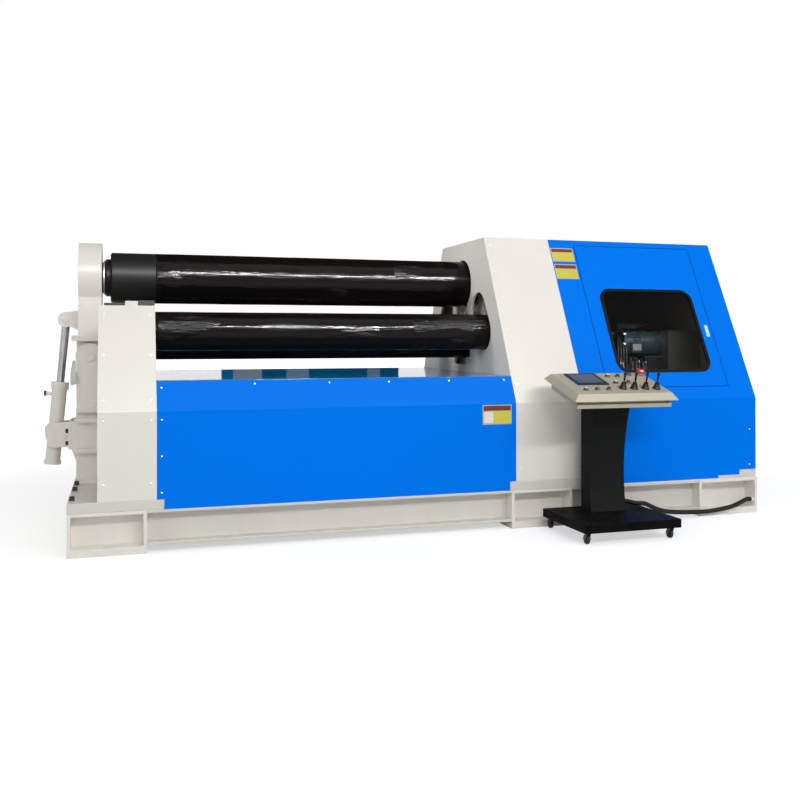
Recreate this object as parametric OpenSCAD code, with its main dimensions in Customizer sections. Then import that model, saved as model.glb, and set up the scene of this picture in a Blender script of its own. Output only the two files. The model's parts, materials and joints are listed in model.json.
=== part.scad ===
// Four-roll hydraulic plate rolling machine with a tilting drop end, a windowed drive cabinet
// and a mobile control console. X runs along the rolls, Y from the operator to the rear, Z up.
// The origin is on the floor, at the centre of the four anchor holes of the base.

/* [Layout along the rolls] */
// Base left free before the covers of the left stand
stand_inset = 170; // [150:1:200]
// Width of the left roll stand over its covers
stand_width = 341; // [335:1:380]
// Clear length between the left stand and the head housing
working_width = 2356; // [2100:1:2600]
// Width of the head housing
head_width = 520; // [480:1:580]
// Width of the drive cabinet
cabinet_width = 1418; // [1350:1:1500]
// Base left free past the drive cabinet
end_inset = 11; // [5:1:30]

/* [Base] */
// Depth of the base, front to rear
base_depth = 2040; // [1960:1:2120]
// Height of the base frame
base_height = 260; // [240:1:280]
// Width of the left and middle foot blocks
block_width = 454; // [420:1:480]
// Width of the right foot block
end_block_width = 498; // [460:1:530]
// Start of the middle foot block before the head housing
block_lead = 32; // [20:1:60]
// Thickness of the foot pad under each block
foot_pad = 48; // [40:1:60]
// Plate thickness of the foot blocks
block_plate = 20; // [14:1:26]
// Depth of the pockets in the block ends
pocket_depth = 115; // [100:1:140]
// Thickness of the beam flanges
beam_flange = 18; // [12:1:24]
// Thickness of the beam webs
beam_web = 14; // [10:1:20]
// Setback of the beam webs from the flange edges
web_setback = 90; // [70:1:110]
// Radius of the anchor holes
anchor_r = 17; // [13:0.5:20]
// Distance of the anchor holes from the front and rear faces
anchor_inset = 58; // [50:1:70]
// Thickness of the foot plates that carry the stands
foot_plate = 60; // [50:1:70]
// Length of a foot plate along the base
foot_plate_length = 553; // [530:1:580]
// Start of the right foot plate before the head housing
foot_plate_lead = 45; // [36:1:60]

/* [Covers] */
// Height of the fold between the upright and the leaning covers
knee_height = 852; // [800:1:900]
// Height of the head housing and the cabinet over the top roll's axis
head_rise = 324; // [300:1:350]
// Setback of the top edge from the upright covers
top_setback = 576; // [520:1:620]
// Drop from the top roll's axis to the top of the left stand
stand_drop = 216; // [208:1:226]
// Height of the deck under the rolls
deck_height = 1034; // [1000:1:1060]
// Thickness of the sheet metal covers
sheet = 5; // [3:0.5:6]

/* [Rolls] */
// Clearance of the bottom roll over the deck
deck_clear = 107; // [95:1:120]
// Opening between the top roll and the lowered bottom roll
roll_opening = 83.5; // [80:0.5:100]
// Radius of the top roll
top_roll_r = 175.5; // [165:0.5:180]
// Radius of the bottom roll
bottom_roll_r = 157; // [140:0.5:160]
// Distance of the side rolls' axes from the middle plane, lowered
side_roll_y = 438; // [425:1:450]
// Height of the side rolls' axes over the bottom roll's axis, lowered
side_roll_rise = 40; // [30:1:50]
// Radius of the side rolls
side_roll_r = 128.5; // [115:0.5:132]
// Lean of the side roll guides from the vertical
guide_lean = 33; // [30:0.5:35]
// Stroke of the side rolls
side_stroke = 190; // [160:1:195]
// Stroke of the bottom roll
bottom_stroke = 75; // [50:1:76]
// End gap between a lower roll's body and the roll frames
roll_end_gap = 10; // [6:1:16]
// Chamfer at the ends of the roll bodies
roll_chamfer = 10; // [4:1:14]
// Radius of the top roll's drive journal
top_journal_r = 110; // [100:1:120]
// Radius of the bottom roll's journals
bottom_journal_r = 90; // [80:1:95]
// Radius of the side rolls' journals
side_journal_r = 72; // [62:1:76]
// Radial clearance of a journal in its bearing
bearing_gap = 0.4; // [0.3:0.05:0.5]

/* [Bearing chocks] */
// Thickness of the roll frames and their chocks
frame_t = 100; // [90:1:110]
// Distance of the left roll frame from the outer edge of its covers
frame_inset = 153; // [145:1:160]
// Distance of the head's roll frame from the head's side plate
head_frame_inset = 101; // [95:1:120]
// Width of a side roll chock across its guide
side_chock_width = 200; // [190:1:206]
// Length of a side roll chock above and below its axis
side_chock_reach = 160; // [120:1:165]
// Width of the bottom roll chock
bottom_chock_width = 240; // [220:1:250]
// Height of the bottom roll chock above and below its axis
bottom_chock_reach = 130; // [110:1:135]
// Sliding clearance of a chock on each side
guide_gap = 0.4; // [0.3:0.05:0.5]

/* [Side plates] */
// Thickness of the side plates that face the rolls
side_plate = 20; // [16:1:24]
// Clearance of the top roll in the head's side plate
top_hole_gap = 12; // [8:0.5:16]
// Half width of the throat under the top roll
throat_half = 104; // [90:1:115]
// Clearance of the bottom roll in its slot
bottom_slot_gap = 8; // [6:0.5:10]
// Depth of the bottom roll's slot under its axis
bottom_slot_depth = 209; // [195:1:220]
// Clearance of the side rolls in their slots
side_slot_gap = 6.5; // [5:0.5:8]

/* [Drop end] */
// Thickness of the drop end bearing
drop_t = 150; // [140:1:156]
// Gap between the drop end and the collar of the top roll
drop_gap = 18; // [14:1:24]
// Outer radius of the bearing ring
drop_ring_r = 237; // [225:1:245]
// Drop from the top roll's axis to the main hinge pin
hinge_drop = 547; // [540:1:556]
// Distance of the hinge pin from the outer face of the drop end
hinge_inset = 74; // [70:1:78]
// Radius of the main hinge pin
hinge_pin_r = 37.5; // [30:0.5:42]
// Largest tilt of the drop end
drop_tilt = 75; // [60:1:78]
// Length of the tapered journal
taper_length = 72; // [64:1:76]
// Radius of the tapered journal at its root
taper_r = 107; // [100:1:112]
// Loss of radius over the tapered journal
taper_fall = 12; // [11:0.5:14]

/* [Tilt cylinder] */
// Distance of the rod pin from the hinge pin, along the base
lug_x = 159; // [150:1:166]
// Height of the rod pin over the hinge pin
lug_z = 252; // [244:1:260]
// Distance of the trunnion from the hinge pin, along the base
trunnion_x = 231; // [225:1:240]
// Drop from the hinge pin to the trunnion's axis
trunnion_drop = 527; // [520:1:536]
// Radius of the cylinder barrel
barrel_r = 49; // [44:1:54]
// Radius of the piston rod
rod_r = 26.5; // [22:0.5:30]

/* [Door] */
// Start of the door past the head housing
door_lead = 210; // [190:1:240]
// Width of the door
door_width = 998; // [940:1:1030]
// Distance of the door's lower edge above the fold, along the slope
door_foot = 101; // [85:1:120]
// Border over the door, along the slope
door_head = 48; // [40:1:70]
// Gap round the door
door_gap = 5; // [4.5:0.5:7]
// Depth of the door's folded edges
door_depth = 25; // [20:1:30]
// Left border beside the window
window_left = 122; // [110:1:135]
// Right border beside the window
window_right = 103; // [95:1:115]
// Lower border under the window
window_foot = 122; // [110:1:135]
// Upper border over the window
window_head = 380; // [350:1:400]
// Corner radius of the window
window_corner = 85; // [60:1:100]

/* [Console] */
// Place of the console's middle along the base
console_x = 990; // [960:1:1010]
// Gap between the console's foot and the base
console_gap = 25; // [15:1:40]
// Width of the console's foot
foot_width = 690; // [660:1:720]
// Depth of the console's foot
foot_depth = 590; // [560:1:610]
// Height of the console's foot plate over the floor
foot_clear = 76; // [74:1:84]
// Width of the column
column_width = 262; // [240:1:290]
// Width of the desk
desk_width = 752; // [720:1:780]
// Depth of the desk's top face along its slope
desk_depth = 397; // [370:1:420]
// Slope of the desk top
desk_slope = 16.8; // [14:0.2:20]
// Height of the desk's rear edge
desk_height = 1053; // [1030:1:1080]
// Radius of the caster wheels
wheel_r = 31; // [28:0.5:33]

/* [Hidden] */
$fn = 64;

warm_white = [0.93, 0.91, 0.87];
paint_blue = [0.0, 0.45, 0.93];
film_black = [0.07, 0.07, 0.07];
plain_steel = [0.62, 0.63, 0.64];
console_beige = [0.74, 0.71, 0.63];

eps = 0.01;
far = 3000;
half_depth = base_depth / 2;
bottom_roll_z = deck_height + deck_clear + bottom_roll_r;
side_roll_z = bottom_roll_z + side_roll_rise;
top_roll_z = bottom_roll_z + bottom_roll_r + roll_opening + top_roll_r;
top_height = top_roll_z + head_rise;
stand_height = top_roll_z - stand_drop;
bottom_slot_floor = bottom_roll_z - bottom_slot_depth;
hinge_z = top_roll_z - hinge_drop;
trunnion_z = hinge_z - trunnion_drop;
lean = atan(top_setback / (top_height - knee_height));
base_length = stand_inset + stand_width + working_width + head_width + cabinet_width + end_inset;
x_left = -base_length / 2;
x_right = base_length / 2;
stand_x0 = x_left + stand_inset;
stand_x1 = stand_x0 + stand_width;
head_x0 = stand_x1 + working_width;
head_x1 = head_x0 + head_width;
cabinet_x1 = head_x1 + cabinet_width;
plate_top = base_height + foot_plate;
block_x = [x_left, head_x0 - block_lead, x_right - end_block_width];
block_w = [block_width, block_width, end_block_width];
anchor_x = base_length / 2 - block_width / 2;
right_plate_x = head_x0 - foot_plate_lead;
frame_x = stand_x0 + frame_inset;
head_frame_x = head_x0 + head_frame_inset;
cabinet_floor_t = 8;
cabinet_z = base_height + cabinet_floor_t;

// ---- section through the covers: Y of the skin at height z, set back by t ----
function inner_knee(t) = knee_height - t * (1 / cos(lean) - 1) / tan(lean);
function skin_y(z, t = 0) = z <= inner_knee(t) ? t - half_depth
    : (z - knee_height) * tan(lean) + t / cos(lean) - half_depth;

module along_x(x0, length) {
    translate([x0, 0, 0])
        rotate([90, 0, 90])
            linear_extrude(length)
                children();
}

module front_and_rear() {
    children();
    mirror([0, 1, 0])
        children();
}

module section(z0, z1, t) {
    if (z0 < inner_knee(t))
        polygon([[skin_y(z0, t), z0], [t - half_depth, inner_knee(t)], [skin_y(z1, t), z1],
                 [-skin_y(z1, t), z1], [half_depth - t, inner_knee(t)], [-skin_y(z0, t), z0]]);
    else
        polygon([[skin_y(z0, t), z0], [skin_y(z1, t), z1], [-skin_y(z1, t), z1], [-skin_y(z0, t), z0]]);
}

module front_sheet(z0, z1, t) {
    polygon([[-half_depth, z0], [-half_depth, knee_height], [skin_y(z1), z1],
             [skin_y(z1, t), z1], [t - half_depth, inner_knee(t)], [t - half_depth, z0]]);
}

module rounded_rect(width, height, r) {
    translate([r, 0])
        square([width - 2 * r, height]);
    translate([0, r])
        square([width, height - 2 * r]);
    for (x = [r, width - r])
        for (y = [r, height - r])
            translate([x, y])
                circle(r);
}

// ---- base ----
module base_blocks() {
    color(warm_white)
        for (i = [0:2])
            difference() {
                translate([block_x[i], -half_depth, 0])
                    cube([block_w[i], base_depth, base_height]);
                for (side = [-1, 1])
                    translate([block_x[i] + block_plate,
                               side > 0 ? half_depth - pocket_depth : -half_depth - eps, foot_pad])
                        cube([block_w[i] - 2 * block_plate, pocket_depth + eps,
                              base_height - foot_pad - block_plate]);
                if (i != 1)
                    for (side = [-1, 1])
                        translate([i == 0 ? -anchor_x : anchor_x,
                                   side * (half_depth - anchor_inset), -eps])
                            cylinder(r = anchor_r, h = foot_pad + 2 * eps);
            }
    color(warm_white)
        translate([x_right - block_plate + eps, base_gland_y, base_gland_z])
            rotate([0, -90, 0])
                cylinder(r = cable_gland_r, h = base_gland_len + eps);
}

module channel_section() {
    translate([-half_depth, foot_pad])
        square([web_setback + beam_web, beam_flange]);
    translate([-half_depth, base_height - beam_flange])
        square([web_setback + beam_web, beam_flange]);
    translate([web_setback - half_depth, foot_pad])
        square([beam_web, base_height - foot_pad]);
}

module base_beams() {
    color(warm_white)
        for (i = [0:1])
            front_and_rear()
                along_x(block_x[i] + block_w[i], block_x[i + 1] - block_x[i] - block_w[i])
                    channel_section();
}

module foot_plates() {
    color(warm_white) {
        for (x = [x_left, right_plate_x])
            translate([x, -half_depth, base_height])
                cube([foot_plate_length, base_depth, foot_plate]);
        translate([cabinet_x1 - notch_1_x, -half_depth, cabinet_z])
            cube([notch_1_x, base_depth, notch_1_h]);
        translate([cabinet_x1 - notch_2_x, -half_depth, cabinet_z + notch_1_h - eps])
            cube([notch_2_x, base_depth, notch_2_h - notch_1_h + eps]);
    }
}

// ---- chock windows and roll slots, drawn in the Y-Z section ----
top_hole_r = top_roll_r + top_hole_gap;
bottom_slot_half = bottom_roll_r + bottom_slot_gap;
side_slot_half = side_roll_r + side_slot_gap;

module at_side_roll() {
    translate([-side_roll_y, side_roll_z])
        rotate(-guide_lean)
            children();
}

module side_window(reach_up) {
    half = side_chock_width / 2 + guide_gap;
    at_side_roll()
        translate([-half, -side_chock_reach - guide_gap])
            square([2 * half, side_chock_reach + guide_gap + reach_up]);
}

module bottom_window(reach_up) {
    half = bottom_chock_width / 2 + guide_gap;
    translate([-half, bottom_roll_z - bottom_chock_reach - guide_gap])
        square([2 * half, bottom_chock_reach + guide_gap + reach_up]);
}

module mirrored_2d() {
    children();
    mirror([1, 0])
        children();
}

module side_slot(length) {
    at_side_roll() {
        circle(side_slot_half, $fn = 96);
        translate([-side_slot_half, 0])
            square([2 * side_slot_half, length]);
        translate([0, length])
            circle(side_slot_half, $fn = 96);
    }
}

// ---- left stand ----
frame_margin = 8;
frame_top = stand_height - 6;
post_half = 250;
post_top = stand_height - 68;

module stand_frame() {
    color(warm_white)
        along_x(frame_x, frame_t)
            difference() {
                section(plate_top, frame_top, frame_margin);
                bottom_window(far);
                mirrored_2d()
                    side_window(far);
            }
}

module stand_side_plate() {
    color(warm_white)
        along_x(stand_x1 - side_plate, side_plate)
            difference() {
                section(plate_top, stand_height, sheet);
                translate([-bottom_slot_half, bottom_slot_floor])
                    square([2 * bottom_slot_half, far]);
                translate([-post_half, post_top])
                    square([2 * post_half, far]);
                mirrored_2d()
                    side_slot(far);
            }
}

module stand_covers() {
    color(warm_white)
        front_and_rear()
            along_x(stand_x0, stand_width)
                front_sheet(plate_top, stand_height, sheet);
}

// ---- drop end, seen along Y: places given in X and Z ----
collar_x1 = stand_x0 + 66;
collar_x0 = collar_x1 - 39;
drop_x1 = collar_x0 - drop_gap;
drop_x0 = drop_x1 - drop_t;
hinge_x = drop_x0 + hinge_inset;
flange_gap = 106;
flange_t = 38;
flange_y = 235;
flange_lead = 41;
block_y = 225;
block_top = top_roll_z - 214;
ledge = 35;
neck_y = 190;
tongue_y = 160;
tongue_r = 85;
cheek_gap = 5;
cheek_t = 36;
cheek_y = tongue_y + cheek_gap;
cheek_r = 92;
cheek_x0 = hinge_x - 86;
back_plate_x = hinge_x + 96;
lug_px = hinge_x - lug_x;
lug_pz = hinge_z + lug_z;
lug_r = 52;
lug_t = 30;
eye_half = 26;
lug_gap = 4;
trunnion_px = hinge_x - trunnion_x;

module seen_from_front(y0, thickness) {
    translate([0, y0 + thickness, 0])
        rotate([90, 0, 0])
            linear_extrude(thickness)
                children();
}

module lug_outline() {
    translate([lug_px, lug_pz])
        circle(lug_r);
    polygon([[drop_x0 + eps, lug_pz + 62], [lug_px + lug_r * cos(97), lug_pz + lug_r * sin(97)],
             [lug_px, lug_pz],
             [lug_px + lug_r * cos(-62), lug_pz + lug_r * sin(-62)], [drop_x0 + eps, lug_pz - 74]]);
}

module drop_end() {
    color(warm_white)
        difference() {
            union() {
                along_x(drop_x0, drop_t) {
                    translate([0, top_roll_z])
                        circle(drop_ring_r, $fn = 128);
                    polygon([[-block_y, hinge_z + flange_gap], [-block_y, block_top],
                             [-neck_y, block_top + ledge],
                             [-neck_y, top_roll_z - 120], [neck_y, top_roll_z - 120],
                             [neck_y, block_top + ledge],
                             [block_y, block_top], [block_y, hinge_z + flange_gap]]);
                }
                translate([drop_x0 - flange_lead, -flange_y, hinge_z + flange_gap])
                    cube([drop_t + flange_lead, 2 * flange_y, flange_t]);
                seen_from_front(-tongue_y, 2 * tongue_y) {
                    translate([hinge_x, hinge_z])
                        circle(tongue_r);
                    translate([hinge_x - tongue_r, hinge_z])
                        square([tongue_r + drop_x1 - hinge_x, flange_gap + eps]);
                }
                for (side = [-1, 1]) {
                    seen_from_front(side > 0 ? eye_half + lug_gap : -eye_half - lug_gap - lug_t, lug_t)
                        lug_outline();
                    translate([lug_px, side * (eye_half + lug_gap + lug_t - eps), lug_pz])
                        rotate([side > 0 ? -90 : 90, 0, 0])
                            cylinder(r = 20, h = 12);
                }
            }
            translate([hinge_x, 0, hinge_z])
                rotate([90, 0, 0])
                    cylinder(r = hinge_pin_r + bearing_gap, h = far, center = true);
            translate([drop_x1 - taper_length - 2, 0, top_roll_z])
                rotate([0, 90, 0])
                    rotate_extrude($fn = 128)
                        polygon([[0, 0], [taper_r - taper_fall + bearing_gap, 0],
                                 [taper_r - taper_fall + bearing_gap, 2],
                                 [taper_r + bearing_gap, taper_length + 2],
                                 [taper_r + bearing_gap, taper_length + 3], [0, taper_length + 3]]);
        }
}

module hinge_pin() {
    color(plain_steel)
        translate([hinge_x, 0, hinge_z])
            rotate([90, 0, 0])
                cylinder(r = hinge_pin_r, h = 2 * (cheek_y + cheek_t) + 10, center = true);
}

pad_z0 = trunnion_z - 95;
pad_z1 = trunnion_z + 87;
pad_x = cheek_x0 - 30;
pad_flare = 80;
pad_flange = 20;
rib_step = (pad_z1 - plate_top) / 2;
rib_z = [plate_top, plate_top + rib_step, pad_z1, pad_z1 + rib_step / 3];

module cheek_outline() {
    steps = 10;
    translate([hinge_x, hinge_z])
        circle(cheek_r);
    translate([cheek_x0, plate_top])
        square([frame_x - cheek_x0, hinge_z - plate_top]);
    translate([hinge_x, hinge_z - 60])
        square([frame_x - hinge_x, 60]);
    polygon(concat([[cheek_x0 + eps, pad_z1 + pad_flare]],
                   [for (i = [0:steps]) [cheek_x0 - (cheek_x0 - pad_x) * (1 - cos(90 * i / steps)),
                                         pad_z1 + pad_flare * (1 - sin(90 * i / steps))]],
                   [[pad_x, pad_z0], [cheek_x0, pad_z0 - pad_flare], [cheek_x0 + eps, pad_z0 - pad_flare]]));
}

module hinge_cheeks() {
    color(warm_white) {
        difference() {
            front_and_rear()
                seen_from_front(-cheek_y - cheek_t, cheek_t)
                    cheek_outline();
            translate([hinge_x, 0, hinge_z])
                rotate([90, 0, 0])
                    cylinder(r = hinge_pin_r + 0.3, h = far, center = true);
        }
        translate([back_plate_x, -cheek_y - eps, plate_top])
            cube([20, 2 * cheek_y + 2 * eps, hinge_z - plate_top - 80]);
        front_and_rear()
            for (z = rib_z)
                translate([cheek_x0, -cheek_y - cheek_t - 50, z])
                    cube([frame_x - cheek_x0, 50 + eps, 28]);
    }
}

module bracket_outline() {
    polygon([[trunnion_px - 14, pad_z0 + 4],
             [trunnion_px - 40, trunnion_z - 74],
             [trunnion_px - 61, trunnion_z], [trunnion_px - 61, trunnion_z + 52],
             [trunnion_px - 40, trunnion_z + 72], [pad_x - pad_flange, pad_z1 - 6],
             [pad_x - pad_flange, pad_z0 + 4]]);
}

trunnion_r = 22;
bracket_y = 68;
bracket_t = 26;

module cylinder_bracket() {
    color(warm_white) {
        difference() {
            front_and_rear()
                seen_from_front(-bracket_y - bracket_t, bracket_t)
                    bracket_outline();
            translate([trunnion_px, 0, trunnion_z])
                rotate([90, 0, 0])
                    cylinder(r = trunnion_r + bearing_gap, h = far, center = true);
        }
        front_and_rear()
            translate([pad_x - pad_flange - eps, -cheek_y - cheek_t, pad_z0])
                cube([pad_flange + eps, cheek_y + cheek_t - bracket_y, pad_z1 - pad_z0]);
    }
}

switch_z = hinge_z - 194;
switch_t = 8;
switch_head_x = cheek_x0 - 14;

module limit_switch() {
    color([0.85, 0.85, 0.86]) {
        seen_from_front(-cheek_y - cheek_t - switch_t, switch_t) {
            polygon([[cheek_x0 + 18, switch_z + 14], [cheek_x0 + 18, switch_z + 62],
                     [cheek_x0 - 2, switch_z + 96], [cheek_x0 - 2, switch_z + 160],
                     [cheek_x0 - 26, switch_z + 160], [cheek_x0 - 31, switch_z + 128],
                     [cheek_x0 - 38, switch_z + 84],
                     [cheek_x0 - 38, switch_z + 10], [cheek_x0 - 28, switch_z]]);
            translate([switch_head_x, switch_z + 160])
                circle(12);
        }
        translate([switch_head_x - 12, -cheek_y - cheek_t - switch_t - 16, switch_z + 24])
            cube([24, 16 + eps, 84]);
        for (z = [switch_z + 130, switch_z + 160])
            translate([switch_head_x, -cheek_y - cheek_t - switch_t + eps, z])
                rotate([90, 0, 0])
                    cylinder(r = 8, h = 14);
    }
}

// ---- tilt cylinder, drawn along its own axis from the trunnion ----
swing = atan2(lug_px - trunnion_px, lug_pz - trunnion_z);
pin_span = norm([lug_px - trunnion_px, lug_pz - trunnion_z]);
barrel_foot = -200;
gland_z = 300;
gland_h = 52;
gland_r = 59;
rod_foot = 165;
rod_gap = 0.4;
eye_r = 45;

module on_cylinder() {
    translate([trunnion_px, 0, trunnion_z])
        rotate([0, swing, 0])
            children();
}

module tilt_cylinder() {
    color(warm_white)
        on_cylinder()
            difference() {
                union() {
                    translate([0, 0, barrel_foot])
                        cylinder(r = barrel_r, h = gland_z - barrel_foot + eps);
                    translate([0, 0, gland_z])
                        cylinder(r = gland_r, h = gland_h);
                    translate([0, 0, barrel_foot - 12])
                        cylinder(r = barrel_r + 6, h = 30);
                    translate([0, 0, -42])
                        cylinder(r = barrel_r + 12, h = 84);
                    rotate([90, 0, 0])
                        cylinder(r = trunnion_r, h = 2 * (bracket_y + bracket_t) + 6, center = true);
                    translate([-barrel_r + 6, 0, gland_z - 32])
                        rotate([0, -90, 0])
                            cylinder(r = 13, h = 52);
                    translate([-barrel_r - 30, 0, gland_z - 32])
                        rotate([0, -90, 0])
                            cylinder(r = 17, h = 12, $fn = 6);
                }
                translate([0, 0, barrel_foot + 15])
                    cylinder(r = rod_r + rod_gap, h = far);
            }
}

module tilt_rod() {
    color(plain_steel)
        on_cylinder() {
            translate([0, 0, rod_foot])
                cylinder(r = rod_r, h = pin_span - eye_r + 6 - rod_foot);
            translate([0, 0, pin_span])
                rotate([90, 0, 0])
                    cylinder(r = eye_r, h = 2 * eye_half, center = true);
        }
}

// ---- rolls: revolved about their own axis, points are [radius, X] ----
module roll(y, z, points) {
    translate([0, y, z])
        rotate([0, 90, 0])
            rotate_extrude($fn = 128)
                polygon(points);
}

top_roll_x1 = head_frame_x - 20;
collar_r = 130;
collar_chamfer = 12;

module top_roll() {
    color(film_black)
        roll(0, top_roll_z, [
            [0, drop_x1 - taper_length], [taper_r - taper_fall, drop_x1 - taper_length],
            [taper_r, drop_x1], [taper_r, collar_x0],
            [collar_r - collar_chamfer, collar_x0], [collar_r, collar_x0 + collar_chamfer],
            [collar_r, collar_x1], [top_roll_r - roll_chamfer, collar_x1],
            [top_roll_r, collar_x1 + roll_chamfer],
            [top_roll_r, top_roll_x1 - roll_chamfer], [top_roll_r - roll_chamfer, top_roll_x1],
            [top_journal_r, top_roll_x1], [top_journal_r, head_frame_x + frame_t + 60],
            [0, head_frame_x + frame_t + 60]]);
}

journal_stub = 5;
roll_x0 = frame_x + frame_t + roll_end_gap;
roll_x1 = head_frame_x - roll_end_gap;

function lower_roll_points(r, journal_r) = [
    [0, frame_x - journal_stub], [journal_r, frame_x - journal_stub],
    [journal_r, roll_x0], [r - roll_chamfer, roll_x0], [r, roll_x0 + roll_chamfer],
    [r, roll_x1 - roll_chamfer], [r - roll_chamfer, roll_x1], [journal_r, roll_x1],
    [journal_r, head_frame_x + frame_t + journal_stub],
    [0, head_frame_x + frame_t + journal_stub]];

module bottom_roll() {
    color(film_black)
        roll(0, bottom_roll_z, lower_roll_points(bottom_roll_r, bottom_journal_r));
}

module side_roll(side) {
    color(film_black)
        roll(side * side_roll_y, side_roll_z, lower_roll_points(side_roll_r, side_journal_r));
}

module bottom_chocks() {
    color(warm_white)
        for (x = [frame_x, head_frame_x])
            along_x(x, frame_t)
                difference() {
                    translate([-bottom_chock_width / 2, bottom_roll_z - bottom_chock_reach])
                        square([bottom_chock_width, 2 * bottom_chock_reach]);
                    translate([0, bottom_roll_z])
                        circle(bottom_journal_r + bearing_gap, $fn = 96);
                }
}

module side_chock_section() {
    corner = 30;
    half = side_chock_width / 2;
    at_side_roll()
        difference() {
            polygon([[-half, -side_chock_reach], [half, -side_chock_reach],
                     [half, side_chock_reach - corner], [half - corner, side_chock_reach],
                     [corner - half, side_chock_reach], [-half, side_chock_reach - corner]]);
            circle(side_journal_r + bearing_gap, $fn = 96);
        }
}

module front_chocks() {
    color(warm_white)
        for (x = [frame_x, head_frame_x])
            along_x(x, frame_t)
                side_chock_section();
}

module rear_chocks() {
    mirror([0, 1, 0])
        front_chocks();
}

// ---- aprons and deck between the stand and the head ----
deck_t = 5;
notch_gap = 2;

module aprons() {
    color(paint_blue)
        front_and_rear()
            difference() {
                along_x(stand_x1, working_width)
                    front_sheet(base_height, deck_height - deck_t, sheet);
                translate([x_left, -half_depth - 1, 0])
                    cube([foot_plate_length + notch_gap, sheet + 2, plate_top + notch_gap]);
                translate([right_plate_x - notch_gap, -half_depth - 1, 0])
                    cube([foot_plate_length, sheet + 2, plate_top + notch_gap]);
            }
}

module deck() {
    color([0.05, 0.42, 0.62])
        along_x(stand_x1, working_width)
            section(deck_height - deck_t, deck_height, 0);
}

// ---- head housing ----
module head_side_plate() {
    color(warm_white)
        along_x(head_x0, side_plate)
            difference() {
                section(plate_top, top_height - sheet, sheet);
                translate([0, top_roll_z])
                    circle(top_hole_r, $fn = 128);
                translate([-throat_half, bottom_roll_z])
                    square([2 * throat_half, top_roll_z - bottom_roll_z]);
                translate([-bottom_slot_half, bottom_slot_floor])
                    square([2 * bottom_slot_half, bottom_roll_z + bottom_stroke - bottom_slot_floor]);
                translate([0, bottom_roll_z + bottom_stroke])
                    circle(bottom_slot_half, $fn = 128);
                mirrored_2d()
                    side_slot(side_stroke + 4);
            }
}

module head_frame() {
    color(warm_white)
        along_x(head_frame_x, frame_t)
            difference() {
                section(plate_top, top_height - frame_margin, frame_margin);
                translate([0, top_roll_z])
                    circle(top_journal_r + bearing_gap, $fn = 128);
                bottom_window(bottom_chock_reach + bottom_stroke + 5);
                mirrored_2d()
                    side_window(side_chock_reach + side_stroke + 5);
            }
}

module head_cover() {
    color(warm_white)
        along_x(head_x0, head_width)
            difference() {
                section(plate_top, top_height, 0);
                section(plate_top - 1, top_height - sheet, sheet);
            }
}

module head_partition() {
    color(warm_white)
        along_x(head_x1 - sheet, sheet)
            section(plate_top, top_height - sheet, sheet);
}

// ---- drive cabinet ----
notch_1_x = 327;
notch_1_h = 20;
notch_2_x = 143;
notch_2_h = 56;
door_x0 = head_x1 + door_lead;
door_height = norm([top_setback, top_height - knee_height]) - door_foot - door_head;
hinge_set = 8;
hinge_r = 4;
hinge_block = 28;

module on_slope() {
    translate([0, -half_depth, knee_height])
        rotate([90 - lean, 0, 0])
            children();
}

module lower_notches() {
    translate([cabinet_x1 - notch_1_x, -far / 2, cabinet_z - eps])
        cube([notch_1_x + eps, far, notch_1_h + eps]);
    translate([cabinet_x1 - notch_2_x, -far / 2, cabinet_z - eps])
        cube([notch_2_x + eps, far, notch_2_h + eps]);
}

module cabinet_front() {
    color(paint_blue)
        difference() {
            union() {
                along_x(head_x1, cabinet_width - sheet)
                    front_sheet(cabinet_z, top_height - sheet, sheet);
                on_slope()
                    for (v = [door_foot - door_gap - hinge_block, door_foot + door_height + door_gap])
                        translate([door_x0 - 12, v, -sheet - 16])
                            cube([44, hinge_block, 16 + eps]);
            }
            on_slope() {
                translate([door_x0 - door_gap, door_foot - door_gap, -far / 2])
                    cube([door_width + 2 * door_gap, door_height + 2 * door_gap, far]);
                translate([door_x0 + hinge_set, door_foot - door_gap - hinge_block - 1, -hinge_set - 3])
                    rotate([-90, 0, 0])
                        cylinder(r = hinge_r + 0.15, h = door_height + 2 * (door_gap + hinge_block) + 2);
            }
            lower_notches();
        }
}

module cabinet_back() {
    color(paint_blue)
        difference() {
            along_x(head_x1, cabinet_width - sheet)
                mirror([1, 0])
                    front_sheet(cabinet_z, top_height - sheet, sheet);
            lower_notches();
        }
}

module cabinet_top() {
    color(paint_blue)
        along_x(head_x1, cabinet_width - sheet)
            section(top_height - sheet, top_height, 0);
}

module cabinet_end() {
    color(paint_blue)
        difference() {
            along_x(cabinet_x1 - sheet, sheet)
                section(cabinet_z, top_height, 0);
            lower_notches();
        }
}

module cabinet_floor() {
    color(warm_white)
        translate([head_x1, -half_depth, base_height])
            cube([cabinet_width, base_depth, cabinet_floor_t]);
}

window_x0 = door_x0 + window_left;
window_v0 = door_foot + window_foot;
window_width = door_width - window_left - window_right;
window_height = door_height - window_foot - window_head;
seal_lip = 10;
seal_width = 14;
seal_proud = 5;
seal_depth = 8;
panel_t = 4;

module window_outline(grow) {
    translate([window_x0 - grow, window_v0 - grow])
        rounded_rect(window_width + 2 * grow, window_height + 2 * grow, window_corner + grow);
}

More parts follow.
